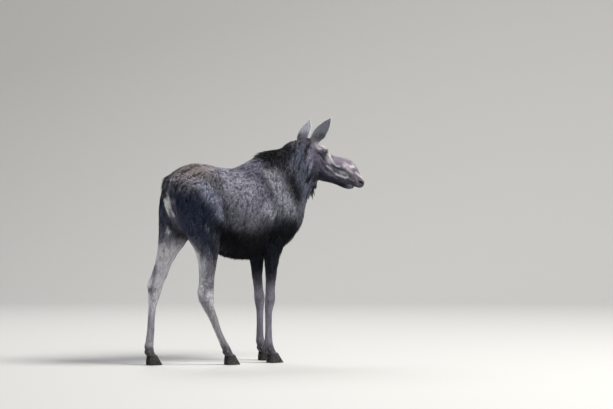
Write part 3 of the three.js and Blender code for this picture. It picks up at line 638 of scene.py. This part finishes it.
# A pale patch under the tail runs down the back of each thigh as a thin line.
taper = 1 + 1.2 * (ramp(heights, 1.44, 1.50) + ramp(-heights, -1.40, -1.32))
patch = off_line(folded, [(-0.90, 0.0, 1.48), (-0.90, 0.0, 1.36)]) * ragged * taper
patch = np.exp(-((patch / 0.048) ** 3))
line = [(-0.90, 0.012, 1.38), (-0.87, 0.055, 1.26), (-0.82, 0.10, 1.16)]
patch = np.maximum(patch, 0.85 * np.exp(-((off_line(folded, line) / 0.014) ** 2)))
line = [(-0.90, 0.010, 1.40), (-0.885, 0.040, 1.31)]
patch = np.maximum(patch, 0.95 * np.exp(-((off_line(folded, line) * ragged / 0.028) ** 3)))
body_colours += (from_hex("f0eef2") - body_colours) * patch[:, None]
bare_skin = ("4a4145", [(-0.90, 0.0, 1.43), (-0.90, 0.0, 1.40)], 0.014, 0.6)
body_colours = blended(body_colours, hide_places, [bare_skin], 0.12)

# The ears are pale along their rims and inside, and dark at the root.
blurred = np.column_stack([spread(hide_normals[:, k], edges, 5) for k in range(3)])
rim = ramp(1 - np.linalg.norm(blurred, axis=1), 0.10, 0.30) * share["ear"]
body_colours += (from_hex("d5d8de") - body_colours) * (0.9 * rim)[:, None]
ear_root = share["ear"] * (1 - ramp(heights + 0.03 * (ragged - 1), 1.93, 2.0))
body_colours += (from_hex("1d1b23") - body_colours) * (0.75 * ear_root)[:, None]

head_colours = blended(colours, in_head(hide_places), HEAD_MARKS, 0.04)
colours = body_colours * (1 - on_head) + head_colours * on_head
# The marks are toned down towards grey and lightened for the shade between the locks.
CHROMA, LIGHTEN = 0.76, 1.45
grey = (colours @ np.array([0.2126, 0.7152, 0.0722]))[:, None]
coat_colours = (LIGHTEN * (grey + CHROMA * (colours - grey))).clip(0.002, 0.9)


def paint(piece, name, colours):
    """A colour at each vertex, which the piece's material reads by name."""
    layer = piece.data.color_attributes.new(name, "FLOAT_COLOR", "POINT")
    flat = np.column_stack([colours, np.ones(len(colours))]).astype(np.float32)
    layer.data.foreach_set("color", flat.ravel())


paint(hide, "coat_colour", coat_colours * 0.8)


def node(tree, kind, links=None, **settings):
    """One node with its settings and what its sockets take: a value, or another node's socket."""
    made = tree.nodes.new(kind)
    for key, value in settings.items():
        setattr(made, key, value)
    for socket, source in (links or {}).items():
        if isinstance(source, bpy.types.NodeSocket):
            tree.links.new(source, made.inputs[socket])
        else:
            made.inputs[socket].default_value = source
    return made


def start_material(name, sockets):
    """A material whose Principled shader has its sockets set to those values."""
    made = bpy.data.materials.new(name)
    made.use_nodes = True
    shader = made.node_tree.nodes["Principled BSDF"]
    for socket, value in sockets.items():
        shader.inputs[socket].default_value = value
    return made, made.node_tree, shader


# Short flat undercoat on leather: matt, with a fine down-lying grain 3 mm across and 25 mm long
# and a soft mottle where it parts.
undercoat, tree, shader = start_material(
    "undercoat", {"Roughness": 0.85, "Specular IOR Level": 0.08}
)
place = node(tree, "ShaderNodeTexCoord").outputs["Object"]
lie_grain = node(
    tree,
    "ShaderNodeMapping",
    {"Vector": place, "Rotation": (0, radians(28), 0), "Scale": (330, 330, 40)},
).outputs["Vector"]
hairs = node(tree, "ShaderNodeTexNoise", {"Vector": lie_grain, "Scale": 1.0, "Detail": 2.0})
mottle = node(tree, "ShaderNodeTexNoise", {"Vector": place, "Scale": 45.0, "Detail": 2.0})
tint = node(tree, "ShaderNodeVertexColor", layer_name="coat_colour").outputs["Color"]
grain_range = {"From Min": 0.3, "From Max": 0.7, "To Min": 0.6, "To Max": 1.35}
light = node(
    tree, "ShaderNodeMapRange", {"Value": hairs.outputs["Fac"], **grain_range}
).outputs["Result"]
coat = node(tree, "ShaderNodeVectorMath", {0: tint, "Scale": light}, operation="SCALE")
tree.links.new(coat.outputs["Vector"], shader.inputs["Base Color"])
relief = node(
    tree,
    "ShaderNodeMath",
    {0: hairs.outputs["Fac"], 1: mottle.outputs["Fac"]},
    operation="ADD",
).outputs["Value"]
raised = node(tree, "ShaderNodeBump", {"Height": relief, "Strength": 0.5, "Distance": 0.003})
tree.links.new(raised.outputs["Normal"], shader.inputs["Normal"])
hide.data.materials.clear()
hide.data.materials.append(undercoat)

# ---------------------------------------------------------------- short coat
# Guard hair lies flat and back over the undercoat in small flat locks, grey at the tip and darker
# to the root, which is partly the hair's colour and partly painted shade deep in the coat. It is
# longest on the barrel and finest on the face and ears, and grows from the hide.

HAIR_SEED = 7
chance = np.random.default_rng(HAIR_SEED)
hide.data.calc_loop_triangles()
facets = np.empty(len(hide.data.loop_triangles) * 3, dtype=np.int32)
hide.data.loop_triangles.foreach_get("vertices", facets)
facets = facets.reshape(-1, 3)
facet_loops = np.empty(len(facets) * 3, dtype=np.int32)
hide.data.loop_triangles.foreach_get("loops", facet_loops)
unwrap = np.empty(len(hide.data.loops) * 2, dtype=np.float32)
hide.data.uv_layers["OFBake"].data.foreach_get("uv", unwrap)
facet_uvs = unwrap.reshape(-1, 2)[facet_loops].reshape(-1, 3, 2)
sides = hide_places[facets]
crosses = np.cross(sides[:, 1] - sides[:, 0], sides[:, 2] - sides[:, 0])
facet_areas = np.linalg.norm(crosses, axis=1) / 2
hide_tree = BVHTree.FromPolygons(hide_places.tolist(), facets.tolist())

# The lie of the hair: back and down on the body, down the legs, from nose to poll on the head,
# and from root to tip on the ears.
lie = np.zeros_like(hide_places)
LIE = {"trunk": (-0.60, 0, -1.0), "thigh": (-0.35, 0, -1.0), "shoulder": (-0.35, 0, -1.0),
       "neck": (-0.45, 0, -1.0), "bell": (-0.1, 0, -1), "tail": (-0.2, 0, -1),
       "gaskin": (-0.25, 0, -1), "forearm": (-0.12, 0, -1), "foreleg": (0, 0, -1),
       "cannon": (-0.05, 0, -1), "pastern": (0.1, 0, -1)}
for word, way in LIE.items():
    lie += share[word][:, None] * np.array(way)
level_back = ramp(hide_normals[:, 2], 0.55, 0.95) * (share["trunk"] + share["thigh"])
lie += level_back[:, None] * np.array([-0.8, 0, 0.3])
forward = in_head(hide_places)[:, 0]
up_nose = ramp(forward, 0.10, 0.20)
down_throat = 1 - ramp(forward, -0.02, 0.09)
head_lie = up_nose[:, None] * np.array(-head_forward - head_up * 0.22)
head_lie += (1 - up_nose - down_throat)[:, None] * np.array([-1.0, 0.0, -0.15])
head_lie += down_throat[:, None] * np.array([-0.5, 0.0, -0.9])
lie += share["head"][:, None] * head_lie
for side in ("left", "right"):
    ear_points = vertices_of(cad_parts[f"ear_{side}"])
    away = np.linalg.norm(ear_points - np.array(head_middle), axis=1)
    root, tip = ear_points[away < np.quantile(away, 0.15)].mean(0), ear_points[away.argmax()]
    ear_length = np.linalg.norm(tip - root)
    in_ear = np.linalg.norm(hide_places - (root + tip) / 2, axis=1) < 0.6 * ear_length
    lie += (share["ear"] * in_ear)[:, None] * (tip - root) / ear_length * 1.2
lie = np.column_stack([spread(lie[:, k], edges, 10) for k in range(3)])


def patchy(points, size, seed):
    """Smooth noise from 0 to 1 with blotches of that size in metres, one size for each axis."""
    grid = points / np.array(size) + 1000.0
    corner = np.floor(grid).astype(np.int64)
    part = grid - corner
    part = part * part * (3 - 2 * part)
    value = np.zeros(len(points))
    for i in range(8):
        step = np.array([i & 1, i >> 1 & 1, i >> 2 & 1])
        key = (corner + step) @ np.array([73856093, 19349663, 83492791]) + seed * 2654435761
        key = (key ^ key >> 13) * 1274126177 & 0xFFFFFFFF
        key = (key ^ key >> 16) & 0xFFFF
        value += key / 65535 * np.abs(1 - step - part).prod(axis=1)
    return value


def seed_roots(weights):
    """Roots spread evenly over the hide, at so many to the square metre at each of its vertices."""
    wanted = facet_areas * weights[facets].mean(axis=1)
    running = np.cumsum(wanted)
    steps = np.arange(int(running[-1])) + chance.random(int(running[-1]))
    facet = np.searchsorted(running, steps).clip(0, len(facets) - 1)
    a, b = chance.random((2, len(facet)))
    over = a + b > 1
    a[over], b[over] = 1 - a[over], 1 - b[over]
    mix = np.column_stack([1 - a - b, a, b])[:, :, None]

    def at_roots(values):
        values = values if values.ndim == 2 else values[:, None]
        return (values[facets[facet]] * mix).sum(axis=1)

    patch = (facet_uvs[facet] * mix).sum(axis=1)
    return at_roots, patch


def onto_hide(points):
    """The nearest places on the hide, with its normals there."""
    places, normals = np.empty_like(points), np.empty_like(points)
    for i, point in enumerate(points.tolist()):
        place, normal, _, _ = hide_tree.find_nearest(point)
        places[i], normals[i] = place, normal
    return places, normals


def unit(vectors):
    """The same ways, each of length 1."""
    return vectors / np.linalg.norm(vectors, axis=1, keepdims=True).clip(1e-9)


LOCK_UV = 0.003  # the width of a lock's patch on the unwrap
ROOT_DEPTH = 0.0015  # how far a root lies in the hide, m
STREAK_SIZE = np.array([0.009, 0.009, 0.060])  # locks cling together in streaks, m
STREAK_WAYS = [(-0.47, 0.0, -0.88), (-0.97, 0.0, -0.24), (0.0, 0.0, -1.0), tuple(-head_forward)]


def streaky(points, ways, seed, coarse):
    """Smooth noise from 0 to 1 that runs along the lie of the hair, broader where it is coarse."""
    value, total = np.zeros(len(points)), np.full(len(points), 1e-9)
    for way in STREAK_WAYS:
        way = Vector(way)
        aside = way.cross(Vector((0, 1, 0))).normalized()
        axes = np.array([aside, way.cross(aside).normalized(), way]).T
        fits = np.abs(ways @ np.array(way)) ** 16
        broad = patchy(points @ axes, STREAK_SIZE * (1.3, 1.3, 1.8), seed + 1)
        value += fits * (coarse * broad + (1 - coarse) * patchy(points @ axes, STREAK_SIZE, seed))
        total += fits
    return ramp(value / total, 0.32, 0.68)


LOCK_SIDES = ((0, 2), (2, 1), (1, 0))  # the two corners of a ring that each side lies between


def join_locks(name, rows, row_colours, row_uvs, rings):
    """One mesh of all the locks, each closed. Each row holds one corner of every lock, root first.
    The triangles are wound so that their faces point into the locks, not out of them."""
    step = len(rows)
    places = np.stack(rows, axis=1).reshape(-1, 3)
    colours = np.stack(row_colours, axis=1).reshape(-1, 3)
    uvs = np.stack(row_uvs, axis=1).reshape(-1, 2)
    faces = [(0, 1, 3), (0, 3, 2), (0, 2, 1)]
    for k in range(rings - 1):
        low, high = 1 + 3 * k, 4 + 3 * k
        for a, b in LOCK_SIDES:
            faces += [(low + a, high + a, low + b), (high + a, high + b, low + b)]
    last = 1 + 3 * (rings - 1)
    faces += [(last + a, step - 1, last + b) for a, b in LOCK_SIDES]
    first = np.arange(len(rows[0]))[:, None, None] * step
    faces = (np.array(faces)[None] + first).reshape(-1, 3)
    mesh = bpy.data.meshes.new(name)
    mesh.vertices.add(len(places))
    mesh.vertices.foreach_set("co", places.astype(np.float32).ravel())
    mesh.loops.add(faces.size)
    mesh.loops.foreach_set("vertex_index", faces.astype(np.int32).ravel())
    mesh.polygons.add(len(faces))
    mesh.polygons.foreach_set("loop_start", np.arange(0, faces.size, 3, dtype=np.int32))
    mesh.update(calc_edges=True)
    layer = mesh.uv_layers.new(name="OFBake")
    layer.data.foreach_set("uv", uvs[faces.ravel()].astype(np.float32).ravel())
    piece = bpy.data.objects.new(name, mesh)
    bpy.context.collection.objects.link(piece)
    paint(piece, "coat_colour", colours.clip(0.001, 0.9))
    mesh.polygons.foreach_set("use_smooth", np.ones(len(faces), dtype=bool))
    return piece


def lay_locks(
    name, slot, weights, length, width, stand, shades,
    rings=1, lift=0.0, stray=0.18, sag=0.0, streaks=1.0,
):
    """One mesh of closed pointed locks along the lie. Each takes a row of three corners at each
    ring, a root in the hide and a tip. length, width and stand hold a value per vertex of the hide
    or one for all, in metres, and shades are how light it is from root to tip, its darker root
    partly painted shade deep in the coat."""
    at_roots, patch = seed_roots(weights)
    roots, normals = at_roots(hide_places), unit(at_roots(hide_normals))
    count = len(roots)
    long, wide, proud = (
        at_roots(np.broadcast_to(np.asarray(v, dtype=float), len(hide_places)))[:, 0]
        for v in (length, width, stand)
    )
    size = 0.75 + 0.5 * chance.random(count)
    long, wide = long * size, wide * (0.75 + 0.5 * chance.random(count))
    way = at_roots(lie)
    clump = np.column_stack([patchy(roots, (0.035,) * 3, k) for k in (11, 12, 13)]) - 0.5
    way = unit(way) + stray * chance.standard_normal((count, 3)) + 1.1 * stray * clump
    way = unit(way - normals * (way * normals).sum(axis=1, keepdims=True))
    across = np.cross(normals, way)
    parted = at_roots(coarse_hair)[:, 0]
    streak = (streaky(roots, way, 21, parted) - 0.5) * (1 + 0.6 * parted)
    tone = (1.0 + streaks * streak) * (1 + 0.4 * min(streaks, 1) * (chance.random(count) - 0.5))
    proud = proud * (1.0 + 0.8 * streaks * streak)
    colour = at_roots(coat_colours) * tone[:, None]

    stops = [k / (rings + 1) for k in range(1, rings + 1)] + [1.0]
    rows, row_colours = [roots - normals * ROOT_DEPTH], [colour * shades[0]]
    row_uvs = [patch + (0, -LOCK_UV / 2)]
    for k, stop in enumerate(stops):
        aim = roots + way * (long * stop)[:, None] + normals * (lift * long * stop)[:, None]
        aim[:, 2] -= sag * long * stop * stop
        spot, up = onto_hide(aim)
        height = (proud * stop ** 0.8)[:, None]
        if lift:
            centre = aim + up * height
            sunk = ((centre - spot) * up).sum(axis=1, keepdims=True)
            centre += up * np.clip(0.002 - sunk, 0, None)
            up = unit(normals + up)
        else:
            centre = spot + up * height
        shade = np.interp(stop, [0, 0.5, 1], shades)
        along_uv = patch + (0, LOCK_UV * (stop - 0.5))
        if k == rings:
            rows.append(centre)
            row_colours.append(colour * shade)
            row_uvs.append(along_uv)
            continue
        girth = wide * (0.9 if k < rings - 1 else 1.0)
        half, thick = across * (girth / 2)[:, None], up * (girth * 0.22)[:, None]
        corners = (centre + half - thick, centre - half - thick, centre + thick)
        for corner, shift in zip(corners, (0.5, -0.5, 0.0)):
            rows.append(corner)
            row_colours.append(colour * shade)
            row_uvs.append(along_uv + (LOCK_UV * shift * 0.98, 0))
    piece = join_locks(name, rows, row_colours, row_uvs, rings)
    piece.data.materials.append(guard_hair)
    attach(piece, "root")


# Guard hair, keratin with a dull shine: each lock is paler to its tip, its root in painted shade.
guard_hair, tree, shader = start_material(
    "guard hair", {"Roughness": 0.65, "Specular IOR Level": 0.12}
)
tint = node(tree, "ShaderNodeVertexColor", layer_name="coat_colour").outputs["Color"]
tree.links.new(tint, shader.inputs["Base Color"])

coarse_hair = np.exp(-((off_line(folded, [(-0.80, 0.10, 1.62), (-0.52, 0.12, 1.66)]) / 0.17) ** 4))
coarse_hair = np.maximum(coarse_hair, share["neck"])
limbs = share["gaskin"] + share["forearm"]
feet = share["cannon"] + share["foreleg"] + share["pastern"]
clear_hoof = ramp(hide_places[:, 2], 0.080, 0.095)
# How long and wide a lock is on each part, and how far its tip stands off the hide, in metres.
HAIR = {"trunk": (0.044, 0.0047, 0.0095), "thigh": (0.044, 0.0047, 0.0095),
        "shoulder": (0.044, 0.0047, 0.0095), "neck": (0.044, 0.0037, 0.0095),
        "gaskin": (0.034, 0.0045, 0.0055), "forearm": (0.034, 0.0045, 0.0055),
        "cannon": (0.020, 0.0032, 0.0030), "foreleg": (0.020, 0.0032, 0.0030),
        "pastern": (0.020, 0.0032, 0.0030), "head": (0.009, 0.0018, 0.0015),
        "ear": (0.010, 0.0018, 0.0012), "bell": (0.05, 0.005, 0.006), "tail": (0.03, 0.005, 0.006)}
hair_length, hair_width, hair_stand = (
    sum(HAIR[word][k] * share[word] for word in REGIONS) for k in range(3)
)
# Lightness of each lock from root to tip: grey tips, and painted shade toward the root.
GREY_TIPS_SHADED_ROOTS = (0.55, 0.9, 1.35)
forward_half = ramp(hide_places[:, 0], -0.251, -0.249)
# Each piece of coat with its slot, its locks to the square metre, and how streaky it is.
for name, slot, weights, streaks in (
    ("coat_barrel_front", "dark_coat", 37500 * share["trunk"] * forward_half, 1.0),
    ("coat_barrel_rear", "dark_coat", 37500 * share["trunk"] * (1 - forward_half), 1.0),
    ("coat_quarters", "dark_coat", 40000 * share["thigh"], 1.0),
    ("coat_shoulders", "dark_coat", 40000 * share["shoulder"], 1.1),
    ("coat_neck", "neck_coat", 46000 * share["neck"], 1.2),
    ("coat_limbs", "leg_coat", 54000 * limbs, 0.5),
    ("coat_feet", "leg_coat", 62000 * feet * clear_hoof, 0.4),
):
    lay_locks(name, slot, weights, hair_length, hair_width, hair_stand, GREY_TIPS_SHADED_ROOTS, streaks=streaks)

eye_clear = np.ones(len(hide_places))
for side in (1, -1):
    off = np.linalg.norm(in_head(hide_places) - EYE_CENTRE * [1, side, 1], axis=1)
    eye_clear *= ramp(off, 0.0212, 0.026)
folded_head = fold_sides(in_head(hide_places))
bare = np.exp(-((off_line(folded_head, NOSTRIL_SLIT) / 0.010) ** 2))
face = share["head"] * eye_clear * (1 - bare)
fore_face = ramp(folded_head[:, 0], 0.299, 0.301)
for name, weights in (
    ("coat_face", 125000 * face * (1 - fore_face)),
    ("coat_muzzle", 125000 * face * fore_face),
):
    lay_locks(name, "face_coat", weights, hair_length, hair_width, hair_stand, (0.8, 1.0, 1.12),
              streaks=0.35)
lay_locks("coat_ears", "ear_coat", 126000 * share["ear"], hair_length, hair_width, hair_stand,
          (0.8, 1.0, 1.15), streaks=0.2)

# ---------------------------------------------------------------- mane, beard and fringes
# Longer coarse hair: a black mane from the poll over the withers, hanging strands on the side of
# the neck, the tassel under the throat, the short tail, and fringes at brisket, belly and ear rim.

x, _, z = hide_places.T
mane_line = [(-0.10, 0.0, 1.74), (0.16, 0.0, 1.82), (0.30, 0.0, 1.87), (0.47, 0.0, 1.98)]
near_crest = np.exp(-((off_line(hide_places, mane_line) / 0.075) ** 4)) * (hide_normals[:, 2] > 0)
off_head = (1 - headward(hide_places, -0.04, 0.0)) * (1 - share["ear"])
near_crest *= off_head * (1 - ramp(x, 0.35, 0.41))
mane_length = 0.045 + 0.060 * ramp(x, 0.0, 0.14) - 0.070 * ramp(x, 0.22, 0.38)
lay_locks("mane", "neck_coat", 38000 * near_crest, mane_length, 0.0048, 0.008, (0.5, 0.85, 1.25),
          rings=2, lift=0.45, stray=0.20, sag=0.20)
strand_roots = 16000 * share["neck"] * (1 - near_crest) + 2000 * share["shoulder"]
lay_locks("neck_strands", "neck_coat", strand_roots, 0.085, 0.0030, 0.009, (0.55, 0.95, 1.4),
          rings=2, stray=0.10, streaks=1.2)
lay_locks("bell_hair", "neck_coat", 16000 * share["bell"], 0.060, 0.006, 0.010, (0.5, 0.8, 1.2),
          rings=2, lift=0.10, sag=0.5)
lay_locks("tail_hair", "dark_coat", 34000 * share["tail"], 0.070, 0.0042, 0.010, (0.5, 0.9, 1.3),
          rings=2, lift=0.06, stray=0.10, sag=0.3)
fore_part = share["trunk"] + share["neck"] + share["shoulder"]
below = ramp(-hide_normals[:, 2], 0.35, 0.85) * fore_part
brisket = ramp(hide_normals[:, 0], 0.5, 0.9) * fore_part * (z < 1.6)
fringe_roots = 9000 * np.maximum(below, brisket) * (z > 0.9) * (x > -0.40)
lay_locks("belly_fringe", "dark_coat", fringe_roots, 0.060, 0.0065, 0.010, (0.5, 0.8, 1.2),
          rings=2, lift=0.04, sag=0.25)
lay_locks("ear_fringe", "ear_coat", 60000 * rim, 0.014, 0.0014, 0.001, (0.9, 1.0, 1.2),
          rings=2, lift=0.05, stray=0.08, streaks=0.2)

# ---------------------------------------------------------------- eyes
# Wet dark globes set in the sockets and held by the lids, brown with a wide level pupil under a
# clear bulging cornea.

GLOBE_GAP = 0.0006  # how far the globe lies inside the lids, m
CORNEA_BULGE = 0.0012  # m
IRIS_RADIUS = 0.0118  # m
PUPIL_HALF_LENGTH, PUPIL_HALF_HEIGHT = 0.0075, 0.0036  # m

# Wet cornea over the iris: near black, mirror smooth, with one sharp highlight.
wet_eye, tree, shader = start_material(
    "wet eye", {"Roughness": 0.08, "IOR": 1.38, "Coat Weight": 0.4, "Coat Roughness": 0.03}
)
tint = node(tree, "ShaderNodeVertexColor", layer_name="coat_colour").outputs["Color"]
tree.links.new(tint, shader.inputs["Base Color"])

for name, (outward, along, above) in zip(("left", "right"), EYE_SIDES):
    low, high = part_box(f"eye_{name}")
    middle = (Vector(low) + Vector(high)) / 2
    bpy.ops.object.select_all(action="DESELECT")
    bpy.ops.mesh.primitive_uv_sphere_add(
        segments=48, ring_count=32, radius=EYE_RADIUS - GLOBE_GAP
    )
    globe = bpy.context.object
    globe.name = f"eyeball_{name}"
    places = vertices_of(globe)
    out = places[:, 2] / EYE_RADIUS
    places[:, 2] += CORNEA_BULGE * ramp(out, 0.55, 0.9)
    globe_axes = np.array([HEAD_AXES.T @ np.array(v) for v in (along, above, outward)])
    move_vertices(globe, places @ globe_axes + np.array(middle))
    iris = 1 - ramp(np.hypot(places[:, 0], places[:, 1]), IRIS_RADIUS, IRIS_RADIUS + 0.0012)
    pupil = np.hypot(places[:, 0] / PUPIL_HALF_LENGTH, places[:, 1] / PUPIL_HALF_HEIGHT)
    pupil = 1 - ramp(pupil, 0.9, 1.1)
    front = places[:, 2] > 0
    colours = np.tile(from_hex("15100e"), (len(places), 1))
    colours += (from_hex("1c100a") - colours) * (iris * front)[:, None]
    colours += (from_hex("030303") - colours) * (pupil * front)[:, None]
    paint(globe, "coat_colour", colours)
    globe.data.materials.append(wet_eye)
    bpy.ops.object.shade_smooth()
    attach(globe, "root")
    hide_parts(f"eye_{name}")

# ---------------------------------------------------------------- hooves and dewclaws
# Two long pointed claws to a foot and two small ones behind, of black horn that grows in rings
# from the coronet and wears flat where it stands.

CORONET_TOP = 0.088  # how far up inside the skin the horn goes, m
HORN_TOP = 0.0735  # only the top faces of the claws lie above this, m
WEAR = 0.0012  # what lies lower than this is worn flat to the ground, m
claws = [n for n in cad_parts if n.startswith("hoof_")]
spurs = [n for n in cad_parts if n.startswith("dewclaw_")]

# Hoof horn: dull black keratin, greyer where it is scuffed, with growth rings 8 mm apart.
hoof_horn, tree, shader = start_material(
    "hoof horn", {"Roughness": 0.5, "Specular IOR Level": 0.35}
)
place = node(tree, "ShaderNodeTexCoord").outputs["Object"]
rings = node(
    tree,
    "ShaderNodeTexWave",
    {"Vector": place, "Scale": 40.0, "Distortion": 2.5, "Detail": 2.0, "Detail Scale": 1.5},
    bands_direction="Z",
)
scuffs = node(tree, "ShaderNodeTexNoise", {"Vector": place, "Scale": 60.0, "Detail": 4.0})
blend = node(
    tree, "ShaderNodeMapRange", {"Value": scuffs.outputs["Fac"], "From Min": 0.45, "From Max": 0.75}
).outputs["Result"]
tone = node(
    tree,
    "ShaderNodeMix",
    {"Factor": blend, "A": (*from_hex("16161a"), 1), "B": (*from_hex("4a4743"), 1)},
    data_type="RGBA",
)
tree.links.new(tone.outputs["Result"], shader.inputs["Base Color"])
grooves = node(
    tree, "ShaderNodeBump", {"Height": rings.outputs["Fac"], "Strength": 0.35, "Distance": 0.0008}
)
tree.links.new(grooves.outputs["Normal"], shader.inputs["Normal"])

for nodes, name, grain in ((claws, "hooves", 0.0028), (spurs, "dewclaws", 0.0022)):
    horn = take_copy(nodes, name)
    if name == "hooves":
        # The tops go up inside the hair of the pastern.
        places = vertices_of(horn)
        places[places[:, 2] > HORN_TOP, 2] = CORONET_TOP
        move_vertices(horn, places)
    horn.data.remesh_voxel_size = grain
    bpy.ops.object.voxel_remesh()
    places = vertices_of(horn)
    off_floor = ramp(places[:, 2], 0.002, 0.008)
    apply_modifier(horn, "SMOOTH", factor=0.6, iterations=8,
                   vertex_group=weigh(horn, "worn", off_floor))
    apply_modifier(horn, "DECIMATE", ratio=0.25)
    places = vertices_of(horn)
    places[places[:, 2] < WEAR, 2] = 0
    move_vertices(horn, places)
    horn.vertex_groups.clear()
    horn.data.materials.clear()
    horn.data.materials.append(hoof_horn)
    bpy.ops.object.shade_smooth()
    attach(horn, "root")
    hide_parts(*nodes)

# ---------------------------------------------------------------- studio
# A grey paper floor that curves up into a backdrop, three large soft lamps, and a long lens set
# well back at the height of her ears. None of it is part of the animal.

LENS_DISTANCE = 30.0  # m
VIEW_AZIMUTH, VIEW_ELEVATION = radians(-32), radians(1.6)
FRAME_WIDTH = 5.2845  # m across the picture at the animal
SENSOR_WIDTH = 36  # mm
VIEW_AIM = Vector((0.3141, -0.3038, 1.366))
LAMP_AIM = Vector((0, 0, 1.1))

paper_profile = [(-26, 0), (9, 0)]
paper_profile += [(9 + 4 * sin(a), 4 - 4 * cos(a)) for a in np.linspace(0.1, pi / 2, 14)]
paper_profile += [(13, 26)]
bpy.ops.mesh.primitive_plane_add(size=1)
paper = bpy.context.object
paper.name = "paper"
paper_mesh = bpy.data.meshes.new("paper")
corners = [(side, away, up) for away, up in paper_profile for side in (-30, 30)]
rows = [(2 * i, 2 * i + 1, 2 * i + 3, 2 * i + 2) for i in range(len(paper_profile) - 1)]
paper_mesh.from_pydata(corners, [], rows)
paper_mesh.transform(Matrix.Rotation(VIEW_AZIMUTH, 4, "Z"))
paper.data = paper_mesh
bpy.ops.object.shade_smooth()

paper_finish, _, _ = start_material(
    "matt paper", {"Base Color": (0.37, 0.37, 0.362, 1), "Roughness": 0.9}
)
paper.data.materials.append(paper_finish)

world = bpy.data.worlds.new("studio")
world.use_nodes = True
world.node_tree.nodes["Background"].inputs["Color"].default_value = (0.92, 0.95, 1.0, 1)
world.node_tree.nodes["Background"].inputs["Strength"].default_value = 0.32
bpy.context.scene.world = world
bpy.context.scene.view_settings.view_transform = "Standard"


def out_along(azimuth, elevation):
    """The unit way from the animal at that azimuth, 0 being her right, and elevation."""
    return Vector((sin(azimuth) * cos(elevation), -cos(azimuth) * cos(elevation), sin(elevation)))


def lamp(name, azimuth, elevation, distance, size, power, colour):
    """A square soft lamp that points at the animal from that azimuth and elevation."""
    back = out_along(azimuth, elevation)
    bpy.ops.object.light_add(type="AREA", location=LAMP_AIM + back * distance)
    made = bpy.context.object
    made.name = name
    made.data.size = size
    made.data.energy = power
    made.data.color = colour
    made.rotation_euler = back.to_track_quat("Z", "Y").to_euler()


lamp("high lamp", radians(35), radians(50), 16, 6.4, 5600, (1.0, 0.97, 0.93))
lamp("front lamp", radians(-30), radians(30), 11, 6.0, 200, (0.95, 0.97, 1.0))
lamp("far lamp", radians(165), radians(48), 10, 5.0, 650, (0.98, 0.98, 1.0))

back = out_along(VIEW_AZIMUTH, VIEW_ELEVATION)
bpy.ops.object.camera_add(location=VIEW_AIM + back * LENS_DISTANCE)
camera = bpy.context.object
camera.name = "camera"
camera.rotation_euler = back.to_track_quat("Z", "Y").to_euler()
camera.data.sensor_width = SENSOR_WIDTH
camera.data.lens = SENSOR_WIDTH * LENS_DISTANCE / FRAME_WIDTH
camera.data.clip_end = 200
bpy.context.scene.camera = camera
